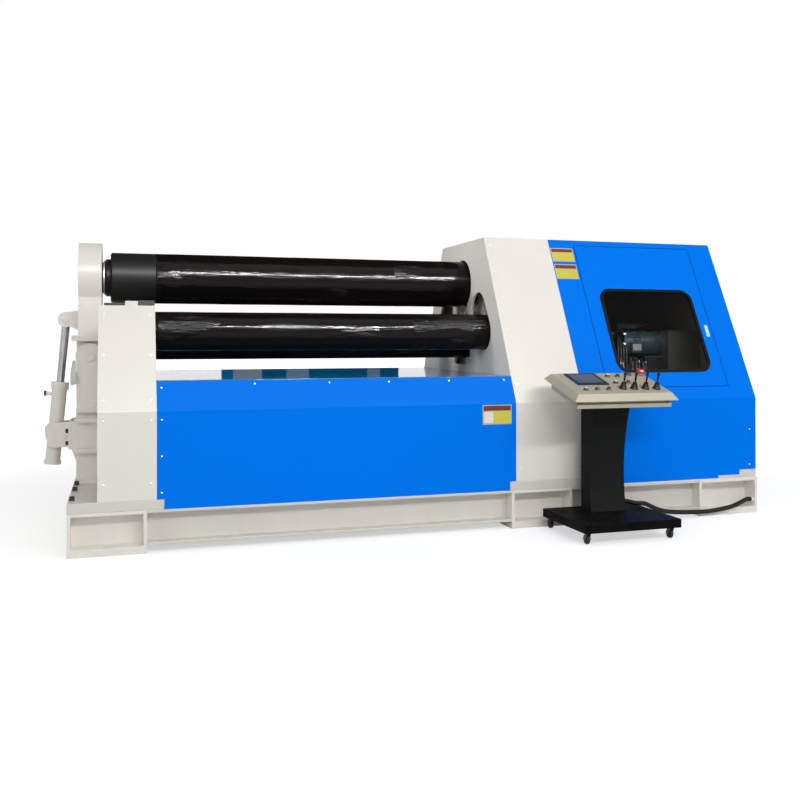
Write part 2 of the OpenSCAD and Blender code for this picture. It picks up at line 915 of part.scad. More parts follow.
module door() {
    color(paint_blue)
        on_slope() {
            translate([door_x0, door_foot, -panel_t])
                linear_extrude(panel_t)
                    difference() {
                        square([door_width, door_height]);
                        translate([-door_x0, -door_foot])
                            window_outline(0);
                    }
            translate([door_x0, door_foot, -door_depth])
                linear_extrude(door_depth - panel_t + eps)
                    difference() {
                        square([door_width, door_height]);
                        translate([panel_t, panel_t])
                            square([door_width - 2 * panel_t, door_height - 2 * panel_t]);
                    }
            for (v = [door_foot - door_gap - hinge_block + 4, door_foot + door_height - panel_t])
                translate([door_x0 + hinge_set, v, -hinge_set - 3])
                    rotate([-90, 0, 0])
                        cylinder(r = hinge_r, h = door_gap + hinge_block - 4 + panel_t);
        }
}

module window_seal() {
    color([0.05, 0.05, 0.05])
        on_slope() {
            linear_extrude(seal_proud)
                difference() {
                    window_outline(seal_lip);
                    window_outline(-seal_width);
                }
            translate([0, 0, -seal_depth])
                linear_extrude(seal_depth + eps)
                    difference() {
                        window_outline(0);
                        window_outline(-seal_width);
                    }
        }
}

module window_glass() {
    color([0.15, 0.16, 0.17, 0.5])
        on_slope()
            translate([0, 0, -seal_depth + 1])
                linear_extrude(5)
                    window_outline(-seal_width);
}

handle_w = 27;
handle_h = 99;
handle_set = 5;
handle_x = (window_right - seal_lip) / 2 - handle_set;
handle_v = window_foot + window_height / 2 - handle_h / 2 - 8;
pull_rim = 4;

module door_handle() {
    color([0.75, 0.85, 0.92])
        on_slope()
            translate([door_x0 + door_width - handle_x - handle_w / 2, door_foot + handle_v, 0]) {
                linear_extrude(3)
                    rounded_rect(handle_w, handle_h, 4);
                translate([pull_rim, pull_rim, 3 - eps])
                    linear_extrude(6)
                        rounded_rect(handle_w - 2 * pull_rim, handle_h - 2 * pull_rim, 3);
            }
}

// ---- power unit behind the window ----
tank_w = 290;
tank_d = 760;
tank_gap = 28;
tank_x0 = cabinet_x1 - tank_gap - tank_w;
tank_y0 = -tank_d / 2;
tank_rise = 490;
tank_top = knee_height + tank_rise;
tank_lid = 12;
tank_lip = 8;
tank_z0 = cabinet_z + notch_2_h;
shelf_drop = 330;
shelf_z = tank_top - shelf_drop;
shelf_t = 10;
shelf_w = 390;
shelf_d = 320;
shelf_leg = 40;
shelf_x0 = tank_x0 - shelf_w;
motor_r = 88;
motor_len = 300;
motor_inset = 130;
motor_y = tank_y0 + motor_inset;
motor_z = tank_top - motor_r;
motor_reach = 60;
motor_x0 = tank_x0 - motor_len - motor_reach;

module oil_tank() {
    color([0.24, 0.22, 0.2]) {
        translate([tank_x0, tank_y0, tank_z0])
            cube([tank_w, tank_d, tank_top - tank_z0]);
        translate([tank_x0, tank_y0 - tank_lip, tank_top])
            cube([tank_w + tank_lip, tank_d + 2 * tank_lip, tank_lid]);
        translate([shelf_x0, tank_y0, shelf_z])
            cube([shelf_w + eps, shelf_d, shelf_t]);
        for (y = [tank_y0, tank_y0 + shelf_d - shelf_leg])
            translate([shelf_x0, y, cabinet_z])
                cube([shelf_leg, shelf_leg, shelf_z - cabinet_z + eps]);
    }
}

module drive_motor() {
    fins = 24;
    color([0.1, 0.2, 0.19])
        translate([motor_x0, motor_y, motor_z])
            rotate([0, 90, 0]) {
                cylinder(r = motor_r - 6, h = motor_len + 48);
                translate([0, 0, motor_len + 46])
                    cylinder(r = motor_r - 2, h = 14);
                translate([0, 0, -6])
                    cylinder(r = motor_r + 4, h = 70);
                for (i = [0:fins - 1])
                    rotate(i * 360 / fins)
                        translate([motor_r - 10, -1.5, 60])
                            cube([14, 3, motor_len - 50]);
                translate([0, -motor_r - 30, 40])
                    cube([75, 44, 85]);
            }
}

module valve_block() {
    block_w = 130;
    coil_step = block_w / 3;
    color([0.12, 0.12, 0.13])
        translate([shelf_x0 + 20, tank_y0 + 30, shelf_z + shelf_t]) {
            cube([block_w, 110, 60]);
            for (i = [0:2])
                translate([coil_step * (i + 0.5), 0, 60 - eps]) {
                    translate([0, 40, 0])
                        cylinder(r = 17, h = 55);
                    translate([0, 82, 0])
                        cylinder(r = 14, h = 40);
                }
            translate([block_w + 40, 0, 0])
                difference() {
                    cube([170, 120, 128]);
                    for (i = [0:9])
                        translate([8 + 16 * i, -1, 10])
                            cube([8, 30, 108]);
                }
        }
}

// ---- console ----
foot_y1 = -half_depth - console_gap;
foot_y0 = foot_y1 - foot_depth;
foot_x0 = console_x - foot_width / 2;
foot_t = 56;
foot_wall = 4;
foot_top_t = 12;
foot_top = foot_clear + foot_t;
column_rear_set = 84;
column_foot_depth = 146;
column_top_depth = 200;
column_bow_drop = 203;
column_rear = foot_y1 - column_rear_set;
column_foot_y = column_rear - column_foot_depth;
column_top_y = column_rear - column_top_depth;
column_bow_z = desk_height - column_bow_drop;
column_sag = 53;
desk_shift = 5;
desk_rear_y = column_rear - 21;
desk_flare = 24;
desk_side_flare = 36;
desk_skirt = 49;
tray_inset = 33;
tray_gap = 19;
tray_lip = 27;
front_edge = [desk_rear_y - desk_depth * cos(desk_slope), desk_height - desk_depth * sin(desk_slope)];

module console_foot() {
    color([0.06, 0.06, 0.07])
        difference() {
            translate([foot_x0, foot_y0, foot_clear])
                cube([foot_width, foot_depth, foot_t]);
            translate([foot_x0 + foot_wall, foot_y0 + foot_wall, foot_clear - eps])
                cube([foot_width - 2 * foot_wall, foot_depth - 2 * foot_wall,
                      foot_t - foot_top_t + eps]);
        }
}

gland_len = 14;
base_gland_len = 12;
base_gland_y = 35 - half_depth;
base_gland_z = 95;
cable_r = 16;
cable_gland_r = 21;
console_gland_z = 178;

// ---- desk, drawn in Y and Z: the cover's skirt, then the tray under it ----
skirt_front = [front_edge[0] - desk_flare, front_edge[1] - desk_skirt];
tray_front = [skirt_front[0] + tray_inset, skirt_front[1] - tray_gap];
tray_rear_y = desk_rear_y + desk_flare - tray_inset;

function tray_top(y) = tray_front[1] + (y - tray_front[0]) * tan(desk_slope);
function tray_floor(y) = tray_top(y) - tray_lip;

module console_column() {
    bow_h = column_bow_z - foot_top;
    chord = norm([column_top_y - column_foot_y, bow_h]);
    bow_r = (chord * chord / 4 + column_sag * column_sag) / (2 * column_sag);
    tip = atan((column_foot_y - column_top_y) / bow_h);
    bow_y = (column_top_y + column_foot_y) / 2 - (bow_r - column_sag) * cos(tip);
    bow_mid_z = (column_bow_z + foot_top) / 2 - (bow_r - column_sag) * sin(tip);
    top_z = tray_floor(column_top_y) - 10;
    steps = 28;
    face = [for (i = [0:steps]) let (z = foot_top + (top_z - foot_top) * i / steps)
        [bow_y + sqrt(bow_r * bow_r - (z - bow_mid_z) * (z - bow_mid_z)), z]];
    front_top = face[steps];
    column_x0 = console_x + 30 - column_width / 2;
    color([0.16, 0.17, 0.17]) {
        translate([column_x0 + column_width - eps, column_rear - 51, console_gland_z])
            rotate([0, 90, 0])
                cylinder(r = cable_gland_r, h = gland_len + eps);
        along_x(column_x0, column_width)
            polygon(concat(face, [[front_top[0], tray_floor(front_top[0])],
                                  [tray_rear_y, tray_floor(tray_rear_y)],
                                  [column_rear, tray_floor(tray_rear_y) - 26], [column_rear, foot_top]]));
    }
}

module desk_level(half, y0, y1, drop) {
    translate([console_x + desk_shift, desk_rear_y, desk_height])
        rotate([desk_slope, 0, 0])
            translate([-half, y0, -drop])
                cube([2 * half, y1 - y0, 0.5]);
}

module console_desk() {
    half = desk_width / 2;
    drop = (front_edge[1] - skirt_front[1]) * cos(desk_slope) - desk_flare * sin(desk_slope);
    reach = desk_depth + desk_flare * cos(desk_slope) + desk_skirt * sin(desk_slope);
    color(console_beige) {
        hull() {
            desk_level(half - desk_side_flare, -desk_depth, 0, 0.5);
            desk_level(half, -reach, desk_flare, drop + 4);
            desk_level(half, -reach, desk_flare, drop);
        }
        along_x(console_x + desk_shift - half + tray_inset, desk_width - 2 * tray_inset)
            polygon([tray_front, [tray_front[0], tray_front[1] - tray_lip],
                     [tray_rear_y, tray_floor(tray_rear_y)], [tray_rear_y, tray_top(tray_rear_y)]]);
        along_x(console_x + desk_shift - half + 2 * tray_inset, desk_width - 4 * tray_inset)
            polygon([[tray_front[0] + tray_inset / 2, tray_top(tray_front[0] + tray_inset / 2) - eps],
                     [tray_rear_y - 8, tray_top(tray_rear_y - 8) - eps],
                     [tray_rear_y - 8, tray_top(tray_rear_y - 8) + tray_gap + 6],
                     [tray_front[0] + tray_inset / 2,
                      tray_top(tray_front[0] + tray_inset / 2) + tray_gap + 6]]);
    }
}

module on_desk(x, s) {
    translate([console_x + x, desk_rear_y, desk_height])
        rotate([desk_slope, 0, 0])
            translate([0, -s, 0])
                children();
}

screen_w = 231;
screen_h = 223;

module console_screen() {
    color([0.35, 0.36, 0.4])
        on_desk(-139, 13 + screen_h)
            translate([-screen_w / 2, 0, 0])
                linear_extrude(5)
                    rounded_rect(screen_w, screen_h, 6);
}

button_places = [[47, 72], [125, 75], [231, 46], [38, 201], [131, 205],
                 [-245, 322], [-160, 319], [-79, 323]];

module console_buttons() {
    color([0.8, 0.8, 0.78])
        for (place = button_places)
            on_desk(place[0], place[1]) {
                cylinder(r = 17, h = 4);
                cylinder(r = 15, h = 7);
                cylinder(r = 11, h = 15);
            }
}

module emergency_stop() {
    color([0.85, 0.12, 0.08])
        on_desk(312, 55)
            rotate_extrude($fn = 48)
                polygon([[0, 0], [19, 0], [19, 5], [13, 6], [13, 22], [26, 27], [29, 32], [29, 36],
                         [25, 42], [0, 45]]);
}

lever_x = [31, 111, 192, 273];
lever_s = [311, 315, 319, 323];
boot_h = 44;
pivot_h = 28;
ball_r = 7;
pivot_half = 3.5;

module lever_boots() {
    color([0.06, 0.06, 0.06])
        for (i = [0:3])
            on_desk(lever_x[i], lever_s[i])
                rotate_extrude($fn = 48)
                    polygon([[ball_r + 0.8, 0], [26, 0], [26, 5], [22, 12], [21, 16], [18, 22],
                             [17.5, 26],
                             [15.5, 31], [15, 35], [14, 39], [14, boot_h], [12, boot_h],
                             [ball_r + 0.8, boot_h - 10]]);
}

module lever(i) {
    color([0.08, 0.08, 0.09])
        on_desk(lever_x[i - 1], lever_s[i - 1])
            translate([0, 0, pivot_h]) {
                rotate([0, 90, 0])
                    cylinder(r = ball_r - 0.5, h = 2 * pivot_half, center = true);
                cylinder(r = 3.5, h = 50);
                translate([0, 0, 24])
                    rotate_extrude($fn = 32)
                        polygon([[0, 0], [5, 0], [6.5, 10], [6.5, 34], [9, 44], [9, 56],
                                 [6.5, 62], [0, 64]]);
            }
}

caster_trail = 20;
caster_inset = 45;
caster_sides = [[-1, 0], [1, 0], [-1, 1], [1, 1]];
wheel_w = 20;
axle_r = 5;

function caster_at(i) = [console_x + caster_sides[i - 1][0] * (foot_width / 2 - caster_inset),
                         caster_sides[i - 1][1] > 0 ? foot_y1 - caster_inset : foot_y0 + caster_inset];

module caster_fork(i) {
    color([0.2, 0.2, 0.21])
        translate(concat(caster_at(i), [0])) {
            translate([0, 0, foot_top - foot_top_t - 26])
                cylinder(r = 26, h = 25.6);
            for (side = [-1, 1])
                translate([side * (wheel_w / 2 + 3.5) - 2, 0, 0])
                    rotate([90, 0, 90])
                        linear_extrude(4)
                            polygon([[-14, foot_top - 38], [14, foot_top - 38],
                                     [caster_trail + 9, wheel_r + 4], [caster_trail + 6, wheel_r - 8],
                                     [caster_trail - 8, wheel_r - 8], [-14, foot_top - 50]]);
            translate([-wheel_w / 2 - 6, caster_trail, wheel_r])
                rotate([0, 90, 0])
                    cylinder(r = axle_r, h = wheel_w + 12);
        }
}

module caster_wheel(i) {
    color([0.1, 0.1, 0.1])
        translate(concat(caster_at(i), [0]))
            translate([0, caster_trail, wheel_r])
                rotate([0, 90, 0])
                    rotate_extrude()
                        polygon([[axle_r + 0.3, -wheel_w / 2], [wheel_r - 3, -wheel_w / 2],
                                 [wheel_r, 3 - wheel_w / 2], [wheel_r, wheel_w / 2 - 3],
                                 [wheel_r - 3, wheel_w / 2], [axle_r + 0.3, wheel_w / 2]]);
}

// ---- cable from the console's column to the base ----
cable_sides = 10;
cable_route = [
    [1165, -1180, 178], [1190, -1180, 178], [1225, -1179, 171], [1262, -1175, 161],
    [1300, -1170, 153], [1340, -1163, 149.5], [1380, -1156, 140], [1425, -1146, 120],
    [1475, -1137, 98], [1545, -1124, 76], [1625, -1110, 63], [1720, -1095, 53], [1815, -1082, 46],
    [1910, -1071, 42], [2000, -1062, 44], [2085, -1054, 51], [2160, -1045, 60], [2225, -1032, 73],
    [2285, -1010, 85], [2325, -993, 92], [2350, -985, 95], [2376, -985, 95]];

function unit(v) = v / norm(v);
function route_dir(p, i) = unit(p[min(i + 1, len(p) - 1)] - p[max(i - 1, 0)]);
function ring(c, d, r, n) = let (side = unit(cross([0, 0, 1], d)), up = cross(d, side))
    [for (k = [0:n - 1]) c + r * (cos(k * 360 / n) * side + sin(k * 360 / n) * up)];

module swept_tube(path, r, n) {
    last = len(path) - 1;
    points = [for (i = [0:last]) for (q = ring(path[i], route_dir(path, i), r, n)) q];
    walls = [for (i = [0:last - 1]) for (k = [0:n - 1])
        [i * n + k, i * n + (k + 1) % n, (i + 1) * n + (k + 1) % n, (i + 1) * n + k]];
    ends = [[for (k = [n - 1:-1:0]) k], [for (k = [0:n - 1]) last * n + k]];
    polyhedron(points, concat(walls, ends), convexity = 6);
}

module console_cable() {
    color([0.05, 0.05, 0.05])
        swept_tube(cable_route, cable_r, cable_sides);
}

base_beams();
base_blocks();
foot_plates();
stand_frame();
stand_side_plate();
stand_covers();
hinge_cheeks();
hinge_pin();
cylinder_bracket();
limit_switch();
drop_end();
tilt_cylinder();
tilt_rod();
top_roll();
bottom_roll();
side_roll(-1);  // front_roll
side_roll(1);  // rear_roll
bottom_chocks();
front_chocks();
rear_chocks();
aprons();
deck();
head_side_plate();
head_frame();
head_cover();
head_partition();
cabinet_front();
cabinet_back();
cabinet_top();
cabinet_end();
cabinet_floor();
door();
window_seal();
window_glass();
door_handle();
oil_tank();
drive_motor();
valve_block();
console_foot();
console_column();
console_desk();
console_screen();
console_buttons();
emergency_stop();
lever_boots();
lever(1);  // lever_1
lever(2);  // lever_2
lever(3);  // lever_3
lever(4);  // lever_4
caster_fork(1);  // caster_fork_1
caster_fork(2);  // caster_fork_2
caster_fork(3);  // caster_fork_3
caster_fork(4);  // caster_fork_4
caster_wheel(1);  // caster_wheel_1
caster_wheel(2);  // caster_wheel_2
caster_wheel(3);  // caster_wheel_3
caster_wheel(4);  // caster_wheel_4
console_cable();
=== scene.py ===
"""Studio scene of a four-roll plate rolling machine and its wheeled control console.

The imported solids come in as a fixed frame. The classes below give them their finishes, add
the small parts that the solids leave out, and set the cable, floor, lamps and camera.
"""

from __future__ import annotations

import json
import logging
import math
from dataclasses import dataclass, field
from enum import Enum, unique
from functools import cache

import bmesh
import bpy
from mathutils import Matrix, Vector, noise


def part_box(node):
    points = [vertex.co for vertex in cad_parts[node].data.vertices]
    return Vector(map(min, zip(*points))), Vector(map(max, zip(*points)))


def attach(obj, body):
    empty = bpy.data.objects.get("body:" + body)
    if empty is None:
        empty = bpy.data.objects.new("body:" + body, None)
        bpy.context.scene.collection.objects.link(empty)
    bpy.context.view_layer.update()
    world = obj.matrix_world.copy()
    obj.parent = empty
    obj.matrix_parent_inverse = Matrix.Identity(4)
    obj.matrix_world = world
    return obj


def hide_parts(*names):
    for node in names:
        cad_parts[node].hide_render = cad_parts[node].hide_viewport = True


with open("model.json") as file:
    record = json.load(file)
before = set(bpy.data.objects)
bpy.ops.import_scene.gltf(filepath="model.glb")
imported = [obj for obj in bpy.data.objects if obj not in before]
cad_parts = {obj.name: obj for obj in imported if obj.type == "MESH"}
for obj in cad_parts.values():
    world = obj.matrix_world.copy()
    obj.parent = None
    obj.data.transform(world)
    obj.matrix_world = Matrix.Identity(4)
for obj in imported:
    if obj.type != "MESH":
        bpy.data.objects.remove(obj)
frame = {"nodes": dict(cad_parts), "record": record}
log = logging.getLogger("plate_rolls")

Color = tuple[float, float, float]
Point = tuple[float, float, float]
MACHINE = "machine"
SOFT_ANGLE = 30.0
TOP_FILM_START = -1.872


# ---------------------------------------------------------------- shader groups


class ShaderTree:
    """A thin layer over a shader or group tree that keeps node building short."""

    def __init__(self, tree: bpy.types.NodeTree) -> None:
        """Wrap a tree.

        Args:
            tree: the node tree to fill.
        """
        self.tree = tree

    def add(self, kind: str, **settings: object) -> bpy.types.Node:
        """Add a node and set its properties.

        Args:
            kind: the node's type name.
            **settings: properties, or sockets written as in_NAME with _ for a blank.

        Returns:
            The new node.
        """
        node = self.tree.nodes.new(kind)
        for key, value in settings.items():
            if key.startswith("in_"):
                node.inputs[key[3:].replace("_", " ")].default_value = value
            else:
                setattr(node, key, value)
        return node

    def join(self, source: bpy.types.NodeSocket, target: bpy.types.NodeSocket) -> None:
        """Link one socket to another."""
        self.tree.links.new(source, target)

    def math(self, operation: str, a: object, b: object = 0.0, clamp: bool = False) -> bpy.types.NodeSocket:
        """Add a Math node.

        Args:
            operation: the Math node's operation.
            a: a socket or number for the first value.
            b: a socket or number for the second value.
            clamp: whether the result stays between 0 and 1.

        Returns:
            The node's output socket.
        """
        node = self.add("ShaderNodeMath", operation=operation, use_clamp=clamp)
        for slot, value in zip(node.inputs, (a, b)):
            if isinstance(value, (int, float)):
                slot.default_value = value
            else:
                self.join(value, slot)
        return node.outputs[0]

    def ramp(self, value: bpy.types.NodeSocket, low: float, high: float,
             to_low: float = 0.0, to_high: float = 1.0) -> bpy.types.NodeSocket:
        """Map a value from one range to another, held at its ends.

        Args:
            value: the socket to map.
            low: start of the range read.
            high: end of the range read.
            to_low: result at low.
            to_high: result at high.

        Returns:
            The mapped value's socket.
        """
        node = self.add("ShaderNodeMapRange", clamp=True)
        for name, number in (("From Min", low), ("From Max", high), ("To Min", to_low), ("To Max", to_high)):
            node.inputs[name].default_value = number
        self.join(value, node.inputs["Value"])
        return node.outputs["Result"]

    def mix(self, factor: bpy.types.NodeSocket, a: object, b: object, blend: str = "MIX") -> bpy.types.NodeSocket:
        """Mix two colours.

        Args:
            factor: the mask socket.
            a: a colour or socket at mask 0.
            b: a colour or socket at mask 1.
            blend: the mix's blend type.

        Returns:
            The mixed colour's socket.
        """
        node = self.add("ShaderNodeMix", data_type="RGBA", blend_type=blend)
        if isinstance(factor, (int, float)):
            node.inputs[0].default_value = factor
        else:
            self.join(factor, node.inputs[0])
        for slot, value in ((node.inputs[6], a), (node.inputs[7], b)):
            if isinstance(value, tuple):
                slot.default_value = (*value, 1.0)
            else:
                self.join(value, slot)
        return node.outputs[2]

    def noise(self, vector: bpy.types.NodeSocket, scale: object, detail: float = 3.0) -> bpy.types.NodeSocket:
        """Add a Noise Texture.

        Args:
            vector: where it is read.
            scale: its scale, a number or a socket.
            detail: its octaves.

        Returns:
            The grey value's socket.
        """
        node = self.add("ShaderNodeTexNoise", in_Detail=detail)
        self.join(vector, node.inputs["Vector"])
        if isinstance(scale, (int, float)):
            node.inputs["Scale"].default_value = scale
        else:
            self.join(scale, node.inputs["Scale"])
        return node.outputs["Fac"]

    def seen(self) -> bpy.types.NodeSocket:
        """Return a mask for what the camera sees straight, through glass or in a mirror."""
        path = self.add("ShaderNodeLightPath")
        straight = self.math("MAXIMUM", path.outputs["Is Camera Ray"], path.outputs["Is Transmission Ray"])
        return self.math("MAXIMUM", straight, path.outputs["Is Glossy Ray"])

    def stretch(self, vector: bpy.types.NodeSocket, scale: Point) -> bpy.types.NodeSocket:
        """Scale coordinates unevenly.

        Args:
            vector: the coordinates.
            scale: the factor along each axis.

        Returns:
            The scaled coordinates' socket.
        """
        node = self.add("ShaderNodeMapping")
        node.inputs["Scale"].default_value = scale
        self.join(vector, node.inputs["Vector"])
        return node.outputs["Vector"]


class SurfaceGroups:
    """The shader node groups that the finishes share, each built once."""

    @classmethod
    def _start(cls, name: str,
               inputs: dict[str, object]) -> tuple[ShaderTree, bpy.types.Node, bpy.types.Node]:
        """Open a new group that gives Color, Roughness and Normal.

        Args:
            name: the group's name.
            inputs: each input's default, a colour or a number.

        Returns:
            The tree wrapper, the group's input node and its output node.
        """
        group = bpy.data.node_groups.new(name, "ShaderNodeTree")
        for label, default in inputs.items():
            kind = "NodeSocketColor" if isinstance(default, tuple) else "NodeSocketFloat"
            group.interface.new_socket(label, in_out="INPUT", socket_type=kind).default_value = default
        for label, kind in (("Color", "Color"), ("Roughness", "Float"), ("Normal", "Vector")):
            group.interface.new_socket(label, in_out="OUTPUT", socket_type=f"NodeSocket{kind}")
        tree = ShaderTree(group)
        return tree, tree.add("NodeGroupInput"), tree.add("NodeGroupOutput")

    @classmethod
    @cache
    def enamel(cls) -> bpy.types.NodeTree:
        """Sprayed paint: slow shade drift, runs of grime, settled dust and orange peel.

        Returns:
            The group, with outputs Color, Roughness and Normal.
        """
        tree, start, end = cls._start(
            "enamel_surface",
            {"Color": (0.8, 0.8, 0.8, 1), "Roughness": 0.4,
             "Drift": 0.05, "Dust": 0.2,
             "Peel": 0.02})
        place = tree.add("ShaderNodeTexCoord")
        here = place.outputs["Object"]
        apart = tree.add("ShaderNodeSeparateXYZ")
        tree.join(here, apart.inputs[0])
        facing = tree.add("ShaderNodeSeparateXYZ")
        tree.join(place.outputs["Normal"], facing.inputs[0])
        slow = tree.noise(here, 1.1, 4.0)
        runs = tree.noise(tree.stretch(here, (9.0, 9.0, 0.7)), 1.0, 3.0)
        specks = tree.noise(here, 34.0, 5.0)
        drift = tree.math("MULTIPLY", tree.math("SUBTRACT", slow, 0.5), start.outputs["Drift"])
        level = tree.math("ADD", drift, 1.0)
        toned = tree.add("ShaderNodeHueSaturation")
        tree.join(start.outputs["Color"], toned.inputs["Color"])
        tree.join(level, toned.inputs["Value"])
        low = tree.ramp(apart.outputs["Z"], 0.0, 0.34, 0.85, 0.12)
        flat = tree.ramp(facing.outputs["Z"], 0.75, 1.0, 0.0, 0.45)
        where = tree.math("MULTIPLY", tree.math("ADD", low, flat), tree.ramp(runs, 0.35, 0.75))
        dust = tree.math("MULTIPLY", where, start.outputs["Dust"], True)
        dusty = tree.mix(dust, toned.outputs["Color"], (0.42, 0.39, 0.34))
        tree.join(dusty, end.inputs["Color"])
        rough = tree.math("ADD", start.outputs["Roughness"],
                          tree.math("MULTIPLY", tree.ramp(specks, 0.3, 0.8, -0.04, 0.08), 1.0))
        tree.join(tree.math("ADD", rough, tree.math("MULTIPLY", dust, 0.5), True), end.inputs["Roughness"])
        bump = tree.add("ShaderNodeBump", in_Distance=0.002)
        tree.join(tree.noise(here, 190.0, 2.0), bump.inputs["Height"])
        tree.join(start.outputs["Peel"], bump.inputs["Strength"])
        tree.join(bump.outputs["Normal"], end.inputs["Normal"])
        return tree.tree

    @classmethod
    @cache
    def wrap(cls) -> bpy.types.NodeTree:
        """Oiled film drawn tight along a roll: smooth and creased lengths, overlaps and smears.

        Returns:
            The group, with outputs Color, Roughness and Normal.
        """
        tree, start, end = cls._start(
            "film_wrap",
            {"Color": (0.02, 0.02, 0.02, 1),
             "Smear": (0.09, 0.06, 0.045, 1),
             "Bare Color": (0.02, 0.024, 0.022, 1),
             "Bare Until": -9.0,
             "Roughness": 0.25, "Creases": 0.5})
        here = tree.add("ShaderNodeTexCoord").outputs["Object"]
        apart = tree.add("ShaderNodeSeparateXYZ")
        tree.join(here, apart.inputs[0])
        along = apart.outputs["X"]
        wrapped = tree.math("GREATER_THAN", along, start.outputs["Bare Until"])
        turns = tree.add("ShaderNodeTexWhiteNoise", noise_dimensions="1D")
        wander = tree.math("MULTIPLY", tree.noise(here, 3.0, 2.0), 0.25)
        tree.join(tree.math("FLOOR", tree.math("MULTIPLY", tree.math("ADD", along, wander), 2.3)),
                  turns.inputs["W"])
        lot = tree.math("SUBTRACT", turns.outputs["Value"], 0.5)
        patches = tree.noise(tree.stretch(here, (1.5, 5.0, 5.0)), 1.0, 3.0)
        creased = tree.ramp(tree.math("ADD", patches, tree.math("MULTIPLY", lot, 0.3)), 0.47, 0.58)
        long_creases = tree.noise(tree.stretch(here, (5.0, 40.0, 40.0)), 1.0, 5.0)
        slant = tree.add("ShaderNodeMapping")
        slant.inputs["Rotation"].default_value = (0.0, 0.45, 0.45)
        slant.inputs["Scale"].default_value = (38.0, 110.0, 110.0)
        tree.join(here, slant.inputs["Vector"])
        slant_creases = tree.noise(slant.outputs["Vector"], 1.0, 4.0)
        smears = tree.noise(tree.stretch(here, (2.6, 9.0, 9.0)), 1.0, 5.0)
        film = tree.mix(tree.ramp(tree.math("ADD", smears, tree.math("MULTIPLY", lot, 0.12)), 0.6, 0.9),
                        start.outputs["Color"], start.outputs["Smear"])
        tree.join(tree.mix(wrapped, start.outputs["Bare Color"], film), end.inputs["Color"])
        film_rough = tree.math("ADD", start.outputs["Roughness"], tree.math("MULTIPLY", creased, 0.20))
        film_rough = tree.math("ADD", film_rough, tree.ramp(smears, 0.45, 0.75, -0.03, 0.12))
        bare_rough = tree.math("MULTIPLY", tree.math("SUBTRACT", 1.0, wrapped), 0.42)
        tree.join(tree.math("ADD", tree.math("MULTIPLY", film_rough, wrapped), bare_rough, True),
                  end.inputs["Roughness"])
        share = tree.ramp(creased, 0.0, 1.0, 0.10, 0.8)
        height = tree.math("ADD", tree.math("MULTIPLY", long_creases, share),
                           tree.math("MULTIPLY", tree.math("MULTIPLY", slant_creases, creased), 0.5))
        bump = tree.add("ShaderNodeBump", in_Distance=0.012)
        tree.join(tree.math("MULTIPLY", height, wrapped), bump.inputs["Height"])
        tree.join(start.outputs["Creases"], bump.inputs["Strength"])
        tree.join(bump.outputs["Normal"], end.inputs["Normal"])
        return tree.tree

    @classmethod
    @cache
    def grain(cls) -> bpy.types.NodeTree:
        """Fine even grain for castings, rubber, moulded plastic and turned metal.

        Returns:
            The group, with outputs Color, Roughness and Normal.
        """
        tree, start, end = cls._start(
            "fine_grain",
            {"Color": (0.5, 0.5, 0.5, 1), "Roughness": 0.5,
             "Scale": 300.0, "Spread": 0.15,
             "Depth": 0.1})
        here = tree.add("ShaderNodeTexCoord").outputs["Object"]
        fine = tree.noise(here, start.outputs["Scale"], 3.0)
        broad = tree.noise(here, 7.0, 4.0)
        value = tree.math("ADD", 1.0, tree.math("MULTIPLY", start.outputs["Spread"],
                                                tree.math("SUBTRACT", broad, 0.5)))
        toned = tree.add("ShaderNodeHueSaturation")
        tree.join(start.outputs["Color"], toned.inputs["Color"])
        tree.join(value, toned.inputs["Value"])
        tree.join(toned.outputs["Color"], end.inputs["Color"])
        tree.join(tree.math("ADD", start.outputs["Roughness"], tree.ramp(broad, 0.3, 0.7, -0.06, 0.08), True),
                  end.inputs["Roughness"])
        bump = tree.add("ShaderNodeBump", in_Distance=0.001)
        tree.join(fine, bump.inputs["Height"])
        tree.join(start.outputs["Depth"], bump.inputs["Strength"])
        tree.join(bump.outputs["Normal"], end.inputs["Normal"])
        return tree.tree


# ---------------------------------------------------------------- finishes


def new_material(name: str, group: bpy.types.NodeTree, values: dict[str, object],
                 shader: dict[str, object]) -> bpy.types.Material:
    """Make a material whose surface detail comes from one of the shared groups.

    Args:
        name: the material's name.
        group: the shader group that gives colour, roughness and normal.
        values: the group's input values.
        shader: plain values for the Principled BSDF's own sockets.

    Returns:
        The new material.
    """
    material = bpy.data.materials.new(name)
    material.use_nodes = True
    tree = ShaderTree(material.node_tree)
    body = material.node_tree.nodes["Principled BSDF"]
    surface = tree.add("ShaderNodeGroup")
    surface.node_tree = group
    for label, value in values.items():
        surface.inputs[label].default_value = (*value, 1.0) if isinstance(value, tuple) else value
    tree.join(surface.outputs["Color"], body.inputs["Base Color"])
    tree.join(surface.outputs["Roughness"], body.inputs["Roughness"])
    tree.join(surface.outputs["Normal"], body.inputs["Normal"])
    for label, value in shader.items():
        body.inputs[label].default_value = value
    return material


@dataclass(frozen=True)
class Enamel:
    """Sprayed machine paint.

    Attributes:
        color: its linear colour.
        roughness: how dull it is.
        coat: weight of the glossy top layer.
        drift: how far the shade wanders.
        dust: how much dust has settled.
        peel: depth of the spray's orange peel.
        shine: how much the paint itself mirrors.
    """

    color: Color
    roughness: float = 0.38
    coat: float = 0.25
    drift: float = 0.06
    dust: float = 0.25
    peel: float = 0.12
    shine: float = 0.5

    def material(self, name: str) -> bpy.types.Material:
        """Build the material under a name."""
        return new_material(name, SurfaceGroups.enamel(),
                            {"Color": self.color, "Roughness": self.roughness, "Drift": self.drift,
                             "Dust": self.dust, "Peel": self.peel},
                            {"Coat Weight": self.coat, "Coat Roughness": 0.12,
                             "Specular IOR Level": self.shine})


